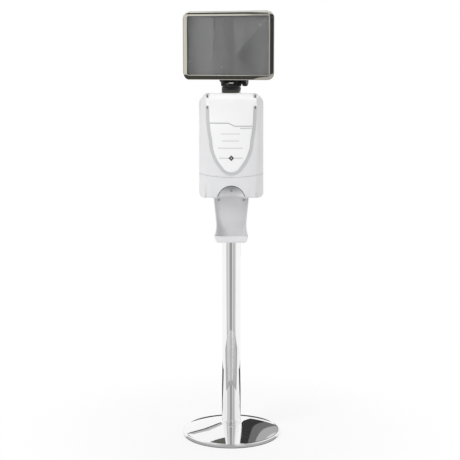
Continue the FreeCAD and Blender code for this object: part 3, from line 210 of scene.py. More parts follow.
DUST_COLOUR = (0.6, 0.59, 0.57, 1)
COAT_ROUGHNESS = 0.08
BUMP_STRENGTH = 0.35


def finish(name, colour, rough, metal=0.0, grain=0.0, grain_scale=900.0, tone=0.06, smudge=0.06,
           dust=0.0, wear=0.0, worn_colour=(0.75, 0.75, 0.74, 1), coat=0.0, specular=0.5,
           brushed=None):
    """A material from its colour, roughness and the strength of each shared mark.

    grain is the height of the surface's grain in metres, tone the share by which its patches are
    darker, and smudge, dust and wear are the strengths of those marks. brushed is a scale along
    each axis that draws the grain out into lines.
    """
    mat = bpy.data.materials.new(name)
    mat.use_nodes = True
    tree = mat.node_tree
    shader = tree.nodes["Principled BSDF"]
    marks = {}
    for key, group in (("grain", grain_group), ("smudge", smudge_group), ("dust", dust_group),
                       ("wear", wear_group)):
        marks[key] = tree.nodes.new("ShaderNodeGroup")
        marks[key].node_tree = group
    marks["grain"].inputs["Scale"].default_value = grain_scale
    base = (*colour, 1)
    darker = (*(c * (1 - tone) for c in colour), 1)
    shade = blend_colours(tree, marks["grain"].outputs["Tone"], darker, base)
    if wear:
        rubbed = maths(tree, "MULTIPLY", marks["wear"].outputs["Mask"], wear)
        shade = blend_colours(tree, rubbed, shade, worn_colour)
    if dust:
        dusty = maths(tree, "MULTIPLY", marks["dust"].outputs["Mask"], dust)
        shade = blend_colours(tree, dusty, shade, DUST_COLOUR)
    tree.links.new(shade, shader.inputs["Base Color"])
    gloss = maths(tree, "MULTIPLY_ADD", marks["smudge"].outputs["Mask"], smudge)
    gloss.node.inputs[2].default_value = rough
    if dust:
        dulled = maths(tree, "MULTIPLY", marks["dust"].outputs["Mask"], dust * 0.5)
        gloss = maths(tree, "ADD", gloss, dulled, clamp=True)
    tree.links.new(gloss, shader.inputs["Roughness"])
    shader.inputs["Metallic"].default_value = metal
    shader.inputs["Specular IOR Level"].default_value = specular
    shader.inputs["Coat Weight"].default_value = coat
    shader.inputs["Coat Roughness"].default_value = COAT_ROUGHNESS
    height = marks["grain"].outputs["Height"]
    if brushed:
        place = tree.nodes.new("ShaderNodeTexCoord").outputs["Object"]
        along = add_node(tree, "ShaderNodeMapping", Vector=place, Scale=brushed)
        lines = add_node(tree, "ShaderNodeTexNoise", Vector=along.outputs["Vector"], Scale=1.0,
                         Detail=3.0)
        height = lines.outputs["Fac"]
    if grain:
        bump = add_node(tree, "ShaderNodeBump", Strength=BUMP_STRENGTH, Distance=grain, Height=height)
        tree.links.new(bump.outputs["Normal"], shader.inputs["Normal"])
    finishes[name] = mat
    return mat


# %% [markdown]
# ### Metals
# The pole, the foot and the frame's corners are plated and polished, so they are almost mirrors: what
# makes them read as chrome is what they reflect, and the slight haze of handling. The rails are polished
# aluminium, drawn through a die, so their marks run along them. Bolts are zinc plated and duller.

# %% Metal finishes
finish("chrome", (0.93, 0.93, 0.935), 0.03, metal=1.0, tone=0.03, smudge=0.05, grain=0.00002,
       grain_scale=60)
finish("corner_chrome", (0.84, 0.83, 0.80), 0.06, metal=1.0, tone=0.04, smudge=0.07, grain=0.00002,
       grain_scale=200)
finish("polished_aluminium", (0.84, 0.83, 0.79), 0.09, metal=1.0, tone=0.04, smudge=0.06,
       grain=0.00003, brushed=(4, 400, 400))
finish("zinc", (0.62, 0.63, 0.64), 0.34, metal=1.0, tone=0.18, smudge=0.15, grain=0.00006,
       grain_scale=500)
finish("steel", (0.55, 0.55, 0.56), 0.3, metal=1.0, tone=0.12, smudge=0.12, grain=0.00005,
       brushed=(300, 30, 300))
finish("iron", (0.09, 0.09, 0.095), 0.62, tone=0.3, grain=0.0004, grain_scale=260, dust=0.3,
       wear=0.5, worn_colour=(0.3, 0.29, 0.28, 1))
finish("grey_metal", (0.42, 0.42, 0.43), 0.42, grain=0.00015, grain_scale=1500, wear=0.4, dust=0.15)
finish("black_metal", (0.02, 0.02, 0.022), 0.45, grain=0.00015, grain_scale=1500, wear=0.5,
       worn_colour=(0.25, 0.25, 0.25, 1), dust=0.1)
print("metal finishes:", sorted(finishes))

# %% [markdown]
# ### Plastics, rubber and paper
# The dispenser's case is satin white moulded plastic, its pump parts are a cool grey, and the rim
# round its panel is a lighter grey. The head and its knob are glass-filled black with a coarser grain,
# which hides scratches from hands.

# %% Plastic, rubber and paper finishes
FINE_GRAIN = dict(grain=0.00006, grain_scale=1400)
finish("white_plastic", (0.80, 0.80, 0.812), 0.32, tone=0.025, smudge=0.1, dust=0.12, specular=0.45,
       **FINE_GRAIN)
finish("grey_plastic", (0.46, 0.47, 0.48), 0.36, tone=0.06, smudge=0.12, dust=0.1, **FINE_GRAIN)
finish("black_plastic", (0.014, 0.014, 0.015), 0.42, grain=0.00018, grain_scale=1100, tone=0.2,
       smudge=0.12, wear=0.25, worn_colour=(0.16, 0.16, 0.16, 1), dust=0.1)
finish("rubber", (0.02, 0.02, 0.02), 0.75, grain=0.0003, grain_scale=700, tone=0.25, dust=0.25)
finish("sign_board", (0.16, 0.16, 0.17), 0.55, grain=0.0001, grain_scale=900, tone=0.12, dust=0.08)
finish("grey_page", (0.29, 0.29, 0.29), 0.9, grain=0.00003, grain_scale=2600, tone=0.012, smudge=0.0,
       specular=0.0)
finish("rim_grey", (0.60, 0.605, 0.615), 0.36, tone=0.05, smudge=0.1, dust=0.1, **FINE_GRAIN)
finish("dark_window", (0.012, 0.006, 0.008), 0.06, tone=0.2, smudge=0.08, coat=0.6)
finish("board_green", (0.012, 0.13, 0.055), 0.3, grain=0.0001, grain_scale=500, tone=0.35, coat=0.3)
print("all finishes:", sorted(finishes))

# %% [markdown]
# ## Dressing the solids
# The CAD program writes its solids as loose triangles, and a mirror finish on those shows every facet. A
# copy is welded, its flat faces are joined up again, and its sharp edges are marked so that everything
# between them shades smoothly. Where a moulding or a casting has a softened edge, the copy's edges are
# beveled as well, because it is that thin line of light along an edge that makes a part look real.


# %% Placing a finished piece
pieces = {}
WELD, FLAT_ENOUGH = 0.005, 0.6  # mm between corners that are one; degrees between faces that are flat


def put(name, bm, finish_name, body, replaced=(), smooth=32.0):
    """Turn a bmesh into a piece that rides on a body and stands for the CAD nodes it replaces."""
    mesh = bpy.data.meshes.new(name)
    bm.to_mesh(mesh)
    bm.free()
    mesh.materials.append(finishes[finish_name])
    mesh.shade_smooth()
    mesh.set_sharp_from_angle(angle=math.radians(smooth))
    piece = bpy.data.objects.new(name, mesh)
    bpy.context.scene.collection.objects.link(piece)
    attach(piece, body)
    if replaced:
        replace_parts(piece, *replaced)
    pieces[name] = piece
    return piece


def welded(node):
    """A bmesh of a CAD node with its triangles joined along their edges."""
    bm = bmesh.new()
    bm.from_mesh(nodes[node].data)
    bmesh.ops.remove_doubles(bm, verts=bm.verts, dist=WELD * MM)
    return bm


def soften(bm, width, sharper_than=35.0, segments=2):
    """Join flat faces and bevel the edges that are sharper than an angle."""
    bmesh.ops.dissolve_limit(bm, angle_limit=math.radians(FLAT_ENOUGH), verts=bm.verts,
                              edges=bm.edges)
    limit = math.radians(sharper_than)
    sharp = [e for e in bm.edges if len(e.link_faces) == 2 and e.calc_face_angle(0) > limit]
    bmesh.ops.bevel(bm, geom=sharp, offset=width, offset_type="OFFSET", affect="EDGES",
                    segments=segments, profile=0.5, material=-1, clamp_overlap=True)


def dress(node, finish_name=None, width=0.0, smooth=32.0):
    """Replace a CAD node by its welded copy, with softened edges if a width is given."""
    bm = welded(node)
    if width:
        soften(bm, width * MM)
    finish_name = finish_name or slot_of[node]
    return put(node + "_part", bm, finish_name, body_of[node], (node,), smooth)


# %% [markdown]
# ### The clear sheet over the page
# The sign's cover is a thin anti-glare sheet. It is clear plastic, so light passes it, and only a soft
# gloss shows. A plain glass shader keeps its transmission on its own socket, as the export wants it.

# %% Clear sheet and bottle
def clear(name, colour, rough, bend):
    """A clear plastic that light passes through; bend is its index of refraction."""
    mat = bpy.data.materials.new(name)
    mat.use_nodes = True
    tree = mat.node_tree
    shader = tree.nodes["Principled BSDF"]
    shader.inputs["Base Color"].default_value = (*colour, 1)
    shader.inputs["Transmission Weight"].default_value = 1.0
    shader.inputs["IOR"].default_value = bend
    marks = tree.nodes.new("ShaderNodeGroup")
    marks.node_tree = smudge_group
    gloss = maths(tree, "MULTIPLY_ADD", marks.outputs["Mask"], 0.08)
    gloss.node.inputs[2].default_value = rough
    tree.links.new(gloss, shader.inputs["Roughness"])
    finishes[name] = mat
    return mat


clear("clear_sheet", (1, 1, 1), 0.2, 1.04)
finish("bottle_plastic", (0.62, 0.7, 0.74), 0.22, tone=0.1, smudge=0.1, grain=0.0001,
       grain_scale=120, coat=0.4)

# %% [markdown]
# ## The chrome foot and pole
# Polished chrome shows the smallest flat, so the foot and the pole are spun again here instead of being
# dressed copies. A spin of one profile round the pole's axis is how a metal spinner makes the dish, too:
# the sheet is pressed over a form, its rim is turned down, and a small radius is left where it bends.


# %% Spun pieces
def spun(profile, steps=160):
    """A bmesh turned a full circle round the pole's axis from a profile of (radius, height) in mm."""
    bm = bmesh.new()
    points = [bm.verts.new((radius * MM, 0, height * MM)) for radius, height in profile]
    edges = [bm.edges.new(pair) for pair in zip(points, points[1:] + points[:1])]
    bmesh.ops.spin(bm, geom=points + edges, cent=(0, 0, 0), axis=(0, 0, 1), angle=math.tau, steps=steps,
                   use_merge=True)
    bmesh.ops.remove_doubles(bm, verts=bm.verts, dist=0.001 * MM)
    bmesh.ops.recalc_face_normals(bm, faces=bm.faces)
    return bm


def arc(start, end, swell, steps):
    """Points from start to end along an arc that swells to the right of its chord, without the start."""
    (x0, y0), (x1, y1) = start, end
    chord = math.hypot(x1 - x0, y1 - y0)
    radius = (chord * chord / 4 + swell * swell) / (2 * swell)
    half = math.asin(chord / 2 / radius)
    left = ((y0 - y1) / chord, (x1 - x0) / chord)
    middle = ((x0 + x1) / 2 + left[0] * (radius - swell), (y0 + y1) / 2 + left[1] * (radius - swell))
    first = math.atan2(y0 - middle[1], x0 - middle[0])
    return [(middle[0] + radius * math.cos(first + 2 * half * n / steps),
             middle[1] + radius * math.sin(first + 2 * half * n / steps)) for n in range(1, steps + 1)]


# %% The dished foot, its collar and the pole
foot_low, foot_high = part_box("base_cover")
rim, edge, crown = foot_high.x / MM, foot_low.z / MM, foot_high.z / MM
rim_top, rim_round, flat, sheet, bore = 13.5, 3.0, 38.0, 1.5, 6.3
outside = [(rim, edge), (rim, rim_top - rim_round)]
outside += arc(outside[-1], (rim - rim_round, rim_top), rim_round * 0.293, 6)
outside += arc(outside[-1], (flat, crown), 3.4, 40)
inside = [(bore, crown), (bore, crown - sheet), (flat, crown - sheet)]
inside += [(r, z - sheet) for r, z in reversed(outside[8:-1])]
inside += [(rim - sheet, rim_top - rim_round), (rim - sheet, edge)]
put("chrome_foot", spun(outside + inside, 200), "chrome", "stand", ("base_cover",), smooth=50)

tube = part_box("pole")[1].x / MM
wall, ease = 1.5, 0.5
for name, node in (("chrome_pole", "pole"), ("chrome_collar", "foot_collar")):
    low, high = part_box(node)[0].z / MM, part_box(node)[1].z / MM
    put(name, spun([(tube - ease, low), (tube, low + ease), (tube, high - ease), (tube - ease, high),
                    (tube - wall, high), (tube - wall, low)], 180), "chrome", "stand", (node,), smooth=50)
print("foot", round(rim, 1), "mm radius; pole", round(tube * 2, 1), "mm across")

# %% [markdown]
# ## The hand tray
# The tray is one moulding: a neck that drops from the case, sweeps forward and opens into a shallow cup
# that catches drips. Its surface changes width and depth all the way, which suits a loft: each station is
# a four-cornered trough given by its floor point, the point its walls reach, and two half widths. The
# troughs are bridged, the front is closed, and only then are the corners rounded and the wall thickened.


# %% Loft the tray
def between_stations(stations, share):
    """Stations with extra ones set smoothly between them, by the usual four-point curve."""
    finer = []
    for n in range(len(stations) - 1):
        p = [stations[max(n - 1, 0)], stations[n], stations[n + 1],
             stations[min(n + 2, len(stations) - 1)]]
        for k in range(share):
            t = k / share
            finer.append([0.5 * (2 * b + (c - a) * t + (2 * a - 5 * b + 4 * c - d) * t * t
                                 + (3 * b - a - 3 * c + d) * t ** 3) for a, b, c, d in zip(*p)])
    return finer + [list(stations[-1])]


# floor point y and z, wall top y and z, half width at the wall's top and at the floor, all in mm
tray_stations = [
    (-47.0, 856, -64, 856, 60.0, 60.0), (-47.0, 822, -64, 824, 57.4, 57.4),
    (-47.0, 790, -64, 795, 54.8, 54.6), (-47.0, 765, -65, 776, 52.8, 52.3),
    (-47.6, 742, -72, 765, 51.4, 50.4), (-51.8, 729, -82, 756, 51.0, 49.4),
    (-59.9, 718, -93, 748, 51.3, 49.0), (-72.4, 709, -105, 741, 52.0, 48.8),
    (-91.0, 705, -118, 735, 53.2, 48.8),
    (-118.0, 705, -134, 730.5, 55.2, 49.4), (-150.0, 705, -150, 728, 57.0, 50.0),
]
bm = bmesh.new()
rings = []
for floor_y, floor_z, wall_y, wall_z, half, foot in between_stations(tray_stations, 3):
    corners = [(-half, wall_y, wall_z), (-foot, floor_y, floor_z), (foot, floor_y, floor_z),
               (half, wall_y, wall_z)]
    ring = [bm.verts.new(Vector(c) * MM) for c in corners]
    rings.append([bm.edges.new(pair) for pair in zip(ring, ring[1:])])
for first, second in zip(rings, rings[1:]):
    bmesh.ops.bridge_loops(bm, edges=first + second)
front = [e.verts[0] for e in rings[-1]] + [rings[-1][-1].verts[1]]
bm.faces.new(front)
bmesh.ops.recalc_face_normals(bm, faces=bm.faces)
TRAY_BEND, TRAY_ROUNDING, TRAY_WALL, TRAY_LIP = 40, 8, 2.5, 0.8  # degrees, then mm
bends = [e for e in bm.edges
         if len(e.link_faces) == 2 and e.calc_face_angle(0) > math.radians(TRAY_BEND)]
bmesh.ops.bevel(bm, geom=bends, offset=TRAY_ROUNDING * MM, offset_type="OFFSET", affect="EDGES",
                segments=6, profile=0.5, material=-1, clamp_overlap=False)
up = sum((f.normal.z * f.calc_area() for f in bm.faces if abs(f.normal.z) > 0.9), 0.0)
if up > 0:
    bmesh.ops.reverse_faces(bm, faces=bm.faces)
tray = put("hand_tray", bm, "white_plastic", "stand", ("catch_tray",), smooth=60)
wall = tray.modifiers.new("wall", "SOLIDIFY")
wall.thickness = TRAY_WALL * MM
wall.offset = -1
rounding = tray.modifiers.new("rounding", "BEVEL")
rounding.width = TRAY_LIP * MM
rounding.segments = 2
rounding.limit_method = "ANGLE"
rounding.angle_limit = math.radians(50)
print("tray:", len(tray.data.polygons), "faces before its wall")

# %% [markdown]
# ## What is printed on the shield
# The white panel carries faint grey printing: a line that dips in a wave across it, three short bars and a
# small diamond on a rule. Real printing is a film a few microns thick, so it is a mask in the material,
# drawn from the panel's own object coordinates, and not a piece. The bars stand for the lines of a label,
# whose words are left off.


# %% The printed marks
INK_EDGE = 0.3 * MM  # how softly a printed edge fades


def printed_bar():
    """A node group for one level bar: its mask from a point and the bar's centre and half sizes."""
    group, given, out = new_group(
        "printed_bar", {"X": 0.0, "Z": 0.0, "Centre X": 0.0, "Centre Z": 0.0,
                        "Half Length": 0.01, "Half Height": 0.001}, {"Mask": VALUE})
    sides = []
    for point, centre, half in (("X", "Centre X", "Half Length"), ("Z", "Centre Z", "Half Height")):
        apart = maths(group, "SUBTRACT", given.outputs[point], given.outputs[centre])
        inside_by = maths(group, "SUBTRACT", given.outputs[half], maths(group, "ABSOLUTE", apart))
        sides.append(ramp(group, inside_by, -INK_EDGE, INK_EDGE))
    group.links.new(maths(group, "MULTIPLY", *sides), out.inputs["Mask"])
    return group


bar_group = printed_bar()
shield = finish("shield_white", (0.95, 0.95, 0.95), 0.3, tone=0.025, smudge=0.1, dust=0.1,
                specular=0.45, **FINE_GRAIN)
tree = shield.node_tree
object_place = tree.nodes.new("ShaderNodeTexCoord").outputs["Object"]
point = add_node(tree, "ShaderNodeSeparateXYZ", Vector=object_place)
x, z = point.outputs["X"], point.outputs["Z"]


def bar(centre_x, centre_z, half_length, half_height, across=x, upward=z):
    """The mask of one printed bar, from sizes in mm."""
    node = tree.nodes.new("ShaderNodeGroup")
    node.node_tree = bar_group
    for label, value in (("Centre X", centre_x), ("Centre Z", centre_z), ("Half Length", half_length),
                         ("Half Height", half_height)):
        node.inputs[label].default_value = value * MM
    tree.links.new(across, node.inputs["X"])
    tree.links.new(upward, node.inputs["Z"])
    return node.outputs["Mask"]


def either_of(masks):
    """The strongest of several masks."""
    total = masks[0]
    for mask in masks[1:]:
        total = maths(tree, "MAXIMUM", total, mask)
    return total


WAVE_START, WAVE_END, WAVE_DIP = -14, 16, 10
DIAMOND_HEIGHT = 989.7
dip = ramp(tree, x, WAVE_START * MM, WAVE_END * MM, True)
flattened = maths(tree, "ADD", z, maths(tree, "MULTIPLY", dip, WAVE_DIP * MM))
wave = either_of([bar(-2, 1104, 70, 1.5, upward=flattened), bar(48, 1097.5, 19, 1.2, upward=flattened)])
label_bars = either_of([bar(-2.5, height, half_length, 1.5)
                        for height, half_length in ((1068.9, 31), (1046, 28), (1022.5, 41))])
raised = maths(tree, "SUBTRACT", z, DIAMOND_HEIGHT * MM)
turned = (maths(tree, "ADD", x, raised), maths(tree, "SUBTRACT", x, raised))
diamond = bar(0, 0, 9.5, 9.5, *turned)
heart = bar(0, 0, 2.2, 2.2, *turned)
rule = maths(tree, "MAXIMUM", bar(-23, DIAMOND_HEIGHT, 16, 1.1), bar(23, DIAMOND_HEIGHT, 14, 1.1))
colour = tree.nodes["Principled BSDF"].inputs["Base Color"].links[0].from_socket
for mask, strength, ink in ((wave, 0.9, (0.36, 0.37, 0.39, 1)), (label_bars, 0.5, (0.4, 0.4, 0.42, 1)),
                            (rule, 0.8, (0.4, 0.4, 0.42, 1)), (diamond, 1.0, (0.06, 0.06, 0.065, 1)),
                            (heart, 1.0, (0.7, 0.7, 0.7, 1))):
    colour = blend_colours(tree, maths(tree, "MULTIPLY", mask, strength), colour, ink)
tree.links.new(colour, tree.nodes["Principled BSDF"].inputs["Base Color"])
dress("shield_panel", "shield_white")
print("printed marks on the shield: wave, 3 bars, rule and diamond")
# %% [markdown]
# ## The snap frame
# The frame's rails are drawn aluminium: nearly flat by the page and rounded off to the outer edge. On a
# mirror finish that rounding is the whole look, because each degree of tilt moves the reflection by two.
# Every rail is one section pushed along its side, and every corner is the same section spun round by a
# quarter turn, so the reflections flow from one rail into the next.

# %% Rails and corners
SIGN_WIDTH, SIGN_HEIGHT, SIGN_LOW, FRAME_BACK = 317, 230, 1241, -40
CORNER, JOINT = 23, 0.5  # a corner's reach along each side, and the gap beside it
ends = [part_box("corner_bottom_left"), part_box("corner_bottom_right")]
left_end = (ends[0][0] + ends[0][1]) / 2
right_end = (ends[1][0] + ends[1][1]) / 2
yaw = math.atan2(right_end.y - left_end.y, right_end.x - left_end.x)
# The section as (distance in from the outer edge, distance forward from the back), in mm.
face = [(17.7, 4.5), (18.0, 8.6), (17.3, 10.0), (14.0, 9.95), (10.5, 9.45), (7.5, 8.55), (5.0, 7.2),
        (3.1, 5.4), (2.0, 3.2), (1.6, 1.6)]
section = between_stations(face, 3) + [(4.0, 1.8), (5.0, 4.5)]


def section_face(upright, along):
    """The rail's section as one face, across the left side or the bottom, at a place along it in mm."""
    bm = bmesh.new()
    bottom = [(along, FRAME_BACK - d, SIGN_LOW + u) for u, d in section]
    left = [(-SIGN_WIDTH / 2 + u, FRAME_BACK - d, along) for u, d in section]
    bm.faces.new([bm.verts.new(Vector(c) * MM) for c in (left if upright else bottom)])
    return bm


def finished_sign(bm, mirror_x, mirror_z):
    """Mirror a piece of the frame to its own side and turn it to where the sign faces."""
    middle = (SIGN_LOW + SIGN_HEIGHT / 2) * MM
    for vert in bm.verts:
        if mirror_x:
            vert.co.x = -vert.co.x
        if mirror_z:
            vert.co.z = 2 * middle - vert.co.z
    bmesh.ops.rotate(bm, verts=bm.verts, cent=(0, 0, 0), matrix=Matrix.Rotation(yaw, 3, "Z"))
    bmesh.ops.recalc_face_normals(bm, faces=bm.faces)
    return bm


for side, upright, mirror_x, mirror_z in (("bottom", False, False, False), ("top", False, False, True),
                                          ("left", True, False, False), ("right", True, True, False)):
    start = (SIGN_LOW if upright else -SIGN_WIDTH / 2) + CORNER + JOINT
    span = (SIGN_HEIGHT if upright else SIGN_WIDTH) - 2 * (CORNER + JOINT)
    bm = section_face(upright, start)
    grown = bmesh.ops.extrude_face_region(bm, geom=bm.faces[:])
    moved = [v for v in grown["geom"] if isinstance(v, bmesh.types.BMVert)]
    bmesh.ops.translate(bm, verts=moved, vec=Vector((0, 0, span) if upright else (span, 0, 0)) * MM)
    node = f"snap_{side}"
    put(f"{node}_part", finished_sign(bm, mirror_x, mirror_z), "polished_aluminium", body_of[node],
        (node,), smooth=50)

for across in ("left", "right"):
    for up in ("bottom", "top"):
        bm = section_face(False, -SIGN_WIDTH / 2 + CORNER)
        bmesh.ops.spin(bm, geom=bm.verts[:] + bm.edges[:] + bm.faces[:],
                       cent=Vector((-SIGN_WIDTH / 2 + CORNER, 0, SIGN_LOW + CORNER)) * MM,
                       axis=(0, 1, 0), angle=math.radians(90), steps=16)
        node = f"corner_{up}_{across}"
        put(f"{node}_part", finished_sign(bm, across == "right", up == "top"), "corner_chrome",
            body_of[node], (node,), smooth=50)
print("sign faces", round(math.degrees(yaw), 1), "degrees; section of", len(section), "points")

# %% The head's bolts are blackened, like the head
for node in ("swivel_bolt", "swivel_nut", "swivel_washer", "tilt_bolt"):
    dress(node, "black_metal")
# %% [markdown]
# ## The case's rim and the bay under it
# The rim round the panel is a lighter grey than the bay. Inside the bay the sleeve at its front is painted
# near black as shade, and the dome's grey is painted paler towards its foot as light from the tray.

# %% Rim and bay
dress("shield_rim", "rim_grey", width=0.8)
bay = finish("bay_grey_painted_light_and_shade", (0.3, 0.305, 0.315), 0.3, tone=0.05, smudge=0.1, dust=0.1, **FINE_GRAIN)
tree = bay.node_tree
object_place = tree.nodes.new("ShaderNodeTexCoord").outputs["Object"]
point = add_node(tree, "ShaderNodeSeparateXYZ", Vector=object_place)
bay_low, bay_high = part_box("nozzle_bay")
SLEEVE_FRONT, SLEEVE_BACK = 6, 12  # mm in from the bay's front, where the sleeve gives way to the dome
# Painted shade: the sleeve at the bay's front is painted near black, standing in for the shade inside the
# recess; it fades to the dome between these depths.
past_painted_sleeve_shade = ramp(tree, point.outputs["Y"], bay_low.y + SLEEVE_FRONT * MM, bay_low.y + SLEEVE_BACK * MM)
# Painted light: the dome's grey is painted paler from its top down to its foot, standing in for light off
# the tray.
lower = ramp(tree, point.outputs["Z"], bay_high.z, bay_low.z, True)
shader = tree.nodes["Principled BSDF"]
plain = shader.inputs["Base Color"].links[0].from_socket
dome = blend_colours(tree, lower, plain, (0.86, 0.86, 0.87, 1))
tree.links.new(blend_colours(tree, past_painted_sleeve_shade, (0.13, 0.13, 0.14, 1), dome), shader.inputs["Base Color"])
dress("nozzle_bay", "bay_grey_painted_light_and_shade")
print("bay from", round(bay_low.y, 3), "to", round(bay_high.y, 3), "in depth")

# %% [markdown]
# ## Everything that needs only its finish
# What is left keeps the shape of its solid: washers, bolts, pins, wheels and the parts inside the case.

# %% Dress the rest
made = {n for piece in pieces.values() for n in piece.get("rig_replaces", [])}
for node in sorted(set(nodes) - made):
    dress(node)
print("pieces:", len(pieces))

# %% [markdown]
# ## The studio
# The product was shot on white, so the background a camera sees is plain white, and so is what chrome
# reflects. White chrome on white would vanish: the grey and dark lines down a pole in such a shot are the
# gaps between soft boxes and the dark room behind the camera. Here they are cards round the object, which
# only mirrors see, so they shape the chrome and leave every other surface as it is.

# %% World
scene = bpy.context.scene
scene.view_settings.view_transform = "Standard"
world = bpy.data.worlds.new("white_studio")
scene.world = world
world.use_nodes = True
sky = world.node_tree
ambient = sky.nodes["Background"]
ambient.inputs["Color"].default_value = (1, 1, 1, 1)
ambient.inputs["Strength"].default_value = 0.62
backdrop = add_node(sky, "ShaderNodeBackground", Strength=1.0)
backdrop.inputs["Color"].default_value = (1, 1, 1, 1)
rays = sky.nodes.new("ShaderNodeLightPath")
bent = maths(sky, "ADD", rays.outputs["Is Glossy Ray"], rays.outputs["Is Transmission Ray"])
seen = maths(sky, "ADD", rays.outputs["Is Camera Ray"], bent, clamp=True)
either = sky.nodes.new("ShaderNodeMixShader")
sky.links.new(seen, either.inputs[0])
sky.links.new(ambient.outputs[0], either.inputs[1])
sky.links.new(backdrop.outputs[0], either.inputs[2])
sky.links.new(either.outputs[0], sky.nodes["World Output"].inputs["Surface"])


# %% Floor
def stage_mesh(name, corners, material):
    """A flat piece of the studio, from its corners."""
    bm = bmesh.new()
    bm.faces.new([bm.verts.new(c) for c in corners])
    mesh = bpy.data.meshes.new(name)
    bm.to_mesh(mesh)
    bm.free()
    sheet = bpy.data.objects.new(name, mesh)
    sheet.data.materials.append(material)
    scene.collection.objects.link(sheet)
    sheet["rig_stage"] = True
    return sheet


floor_finish = bpy.data.materials.new("pale_floor")
floor_finish.use_nodes = True
tree = floor_finish.node_tree
tree.nodes["Principled BSDF"].inputs["Base Color"].default_value = (0.93, 0.93, 0.93, 1)
tree.nodes["Principled BSDF"].inputs["Roughness"].default_value = 0.9
tree.nodes["Principled BSDF"].inputs["Specular IOR Level"].default_value = 0.0
paper = add_node(tree, "ShaderNodeEmission", Strength=1.0)
rays = tree.nodes.new("ShaderNodeLightPath")
seen = maths(tree, "ADD", rays.outputs["Is Camera Ray"], rays.outputs["Is Glossy Ray"], clamp=True)
place = tree.nodes.new("ShaderNodeTexCoord").outputs["Object"]
away = add_node(tree, "ShaderNodeVectorMath", operation="LENGTH")
tree.links.new(place, away.inputs[0])
bare = ramp(tree, away.outputs["Value"], 0.25, 0.85, True)
lift = maths(tree, "MULTIPLY_ADD", bare, 0.35)
lift.node.inputs[2].default_value = 0.65
either = tree.nodes.new("ShaderNodeMixShader")
tree.links.new(maths(tree, "MULTIPLY", seen, lift), either.inputs[0])
tree.links.new(tree.nodes["Principled BSDF"].outputs[0], either.inputs[1])
tree.links.new(paper.outputs[0], either.inputs[2])
tree.links.new(either.outputs[0], tree.nodes["Material Output"].inputs["Surface"])
stage_mesh("floor", [(-9, -9, 0), (9, -9, 0), (9, 9, 0), (-9, 9, 0)], floor_finish)


# %% Soft boxes
def soft_light(name, place, aim, side, watts):
    """A square soft box aimed at a point."""
    data = bpy.data.lights.new(name, "AREA")
    data.size = side
    data.energy = watts
    lamp = bpy.data.objects.new(name, data)
    lamp.location = place
    lamp.rotation_mode = "QUATERNION"
    lamp.rotation_quaternion = (Vector(aim) - Vector(place)).to_track_quat("-Z", "Y")
    lamp.visible_glossy = False
    scene.collection.objects.link(lamp)
    return lamp


soft_light("key_box", (-2.2, -2.6, 2.6), (0, 0, 0.9), 1.6, 44)
soft_light("fill_box", (2.8, -1.6, 1.6), (0, 0, 0.9), 1.6, 10)
soft_light("top_box", (0.2, 0.4, 3.6), (0, 0, 0.8), 1.4, 24)


# %% Cards that only mirrors see
def card(name, corners, level, tint=(1, 1, 1)):
    """A card of an even grey that shows in reflections and nowhere else."""
    mat = bpy.data.materials.new(name)
    mat.use_nodes = True
    tree = mat.node_tree
    tree.nodes.remove(tree.nodes["Principled BSDF"])
    glow = add_node(tree, "ShaderNodeEmission", Strength=1.0)
    glow.inputs["Color"].default_value = (level * tint[0], level * tint[1], level * tint[2], 1)
    tree.links.new(glow.outputs[0], tree.nodes["Material Output"].inputs["Surface"])
    piece = stage_mesh(name, corners, mat)
    piece.visible_camera = False
    piece.visible_diffuse = False
    piece.visible_shadow = False
    piece.visible_transmission = False
    return piece


def compass(bearing, distance, height):
    """A point seen from the pole at a bearing: 0 towards the camera, positive to its right."""
    angle = math.radians(bearing)
    return (distance * math.sin(angle), -distance * math.cos(angle), height)


def arc_card(name, first, last, distance, low, high, level, tint=(1, 1, 1)):
    """An upright card that spans two bearings round the pole."""
    return card(name, [compass(first, distance, low), compass(last, distance, low),
                       compass(last, distance, high), compass(first, distance, high)], level, tint)


# Round the pole, below the sign: the grey of the room in front, with one dark line and its bright edge.
# The lower pole looks further down, so each card goes on along the floor and turns lighter near the foot.
# Each row is a card's first bearing, its last bearing and its grey.
ROOM_AWAY, ROOM_TOP, CEILING, ON_FLOOR = 0.9, 1.2, 1.75, 0.001
room = [(-62, -40, 0.62), (-40, -28, 0.74), (-28, -16, 0.56), (-16, -6, 0.34), (-6, 7, 0.27),
        (7, 19, 0.72), (19, 46, 0.54), (46, 60, 0.78)]
for number, (first, last, level) in enumerate(room):
    arc_card(f"room_{number}", first, last, ROOM_AWAY, 0.0, ROOM_TOP, level)
    for part, near, far, share in (("far", 0.6, ROOM_AWAY, 0.0), ("near", 0.2, 0.6, 0.3)):
        card(f"room_floor_{part}_{number}",
             [compass(first, near, ON_FLOOR), compass(last, near, ON_FLOOR),
              compass(last, far, ON_FLOOR), compass(first, far, ON_FLOOR)],
             level + share * (1 - level))

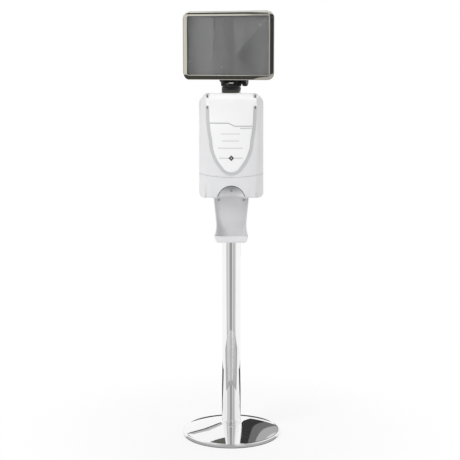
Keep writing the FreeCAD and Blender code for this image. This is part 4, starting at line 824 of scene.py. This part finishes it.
# Round the sign: beige walls to the left, a dark doorway to the right, dark overhead and dark below.
BEIGE = (1.0, 0.985, 0.9)
NEUTRAL = (1, 1, 1)
for name, first, last, level, tint in (
        ("wall_left_near", -95, -22, 0.68, BEIGE), ("wall_left_far", -150, -95, 0.5, BEIGE),
        ("wall_left_edge", -178, -150, 0.12, BEIGE), ("wall_middle", -22, -7, 0.42, BEIGE),
        ("doorway", -7, 100, 0.045, NEUTRAL)):
    arc_card(name, first, last, ROOM_AWAY, ROOM_TOP, CEILING, level, tint)
for name, left, left_back, right, right_back, level in (("ceiling_left", -1.4, -1.4, -0.24, -0.12, 0.07),
                                                        ("ceiling_right", -0.24, -0.12, 0.9, 0.9, 0.55)):
    card(name, [(left, -1.1, CEILING), (right, -1.1, CEILING), (right_back, -0.25, 2.0),
                (left_back, -0.25, 2.0)], level, BEIGE)
SHELF = 1.222
for name, left, right, level in (("shelf_left", -0.4, 0.07, 0.06), ("shelf_right", 0.07, 0.4, 0.42)):
    card(name, [(left, -0.35, SHELF), (right, -0.35, SHELF), (right, 0.05, SHELF), (left, 0.05, SHELF)],
         level, BEIGE)

# Round the foot: the dome looks back over itself, so a dark room with a soft edge stands behind on the
# right, a thin dark beam hangs behind on the left, and the floor is dark behind and grey in front.
BEHIND = 2.5
edges = [(0.262, 0.42), (0.46, 0.80), (0.62, 1.10), (0.80, 1.42), (1.00, 1.80)]
for number, level in enumerate((0.04, 0.16, 0.42, 0.74)):
    (left, left_top), (right, right_top) = edges[number], edges[number + 1]
    card(f"room_behind_{number}", [(left, BEHIND, 0.2), (right, BEHIND, 0.2), (right_top, BEHIND, 4.6),
                                   (left_top, BEHIND, 4.6)], level)
beam = [(-0.28, 1.20), (-0.46, 1.38), (-0.66, 1.49), (-0.80, 1.42), (-0.98, 1.30)]
for name, away, under, over, level in (("beam", BEHIND, -0.06, 0.07, 0.05),
                                       ("beam_shade", BEHIND + 0.02, 0.05, 0.36, 0.5)):
    card(name, [(x, away, z + under) for x, z in beam] + [(x, away, z + over) for x, z in reversed(beam)],
         level)
for name, half, near, far, level in (("floor_front", 0.5, -0.05, -0.5, 0.42),
                                     ("floor_behind", 0.36, 0.18, 0.55, 0.06)):
    card(name, [(-half, near, ON_FLOOR), (-half, far, ON_FLOOR), (half, far, ON_FLOOR),
                (half, near, ON_FLOOR)], level)

# %% [markdown]
# ## The camera
# The photo was taken from a little above the sign's foot with a long lens, looking down eight degrees.
# Both follow from the sign: its A4 opening sets the scale, and the ellipse of the base sets the height.

# %% Camera
LENS, PITCH_DOWN = 88.43, 8.43  # mm on a 36 mm sensor; degrees
camera_data = bpy.data.cameras.new("camera")
camera = bpy.data.objects.new("camera", camera_data)
scene.collection.objects.link(camera)
scene.camera = camera
camera_data.sensor_width = 36.0
camera_data.lens = LENS
camera_data.shift_x = -0.0028
camera.location = (0.0, -3.866, 1.300)
camera.rotation_euler = (math.radians(90 - PITCH_DOWN), 0, 0)
print("camera:", tuple(round(v, 3) for v in camera.location), camera_data.lens, "mm lens")

# %% [markdown]
# ## Closing
# The box of the dressed object is worked out, leaving out the studio's pieces. The dressed object may
# only stand a little proud of the measured one.

# %% Sizes and finish
low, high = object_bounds()
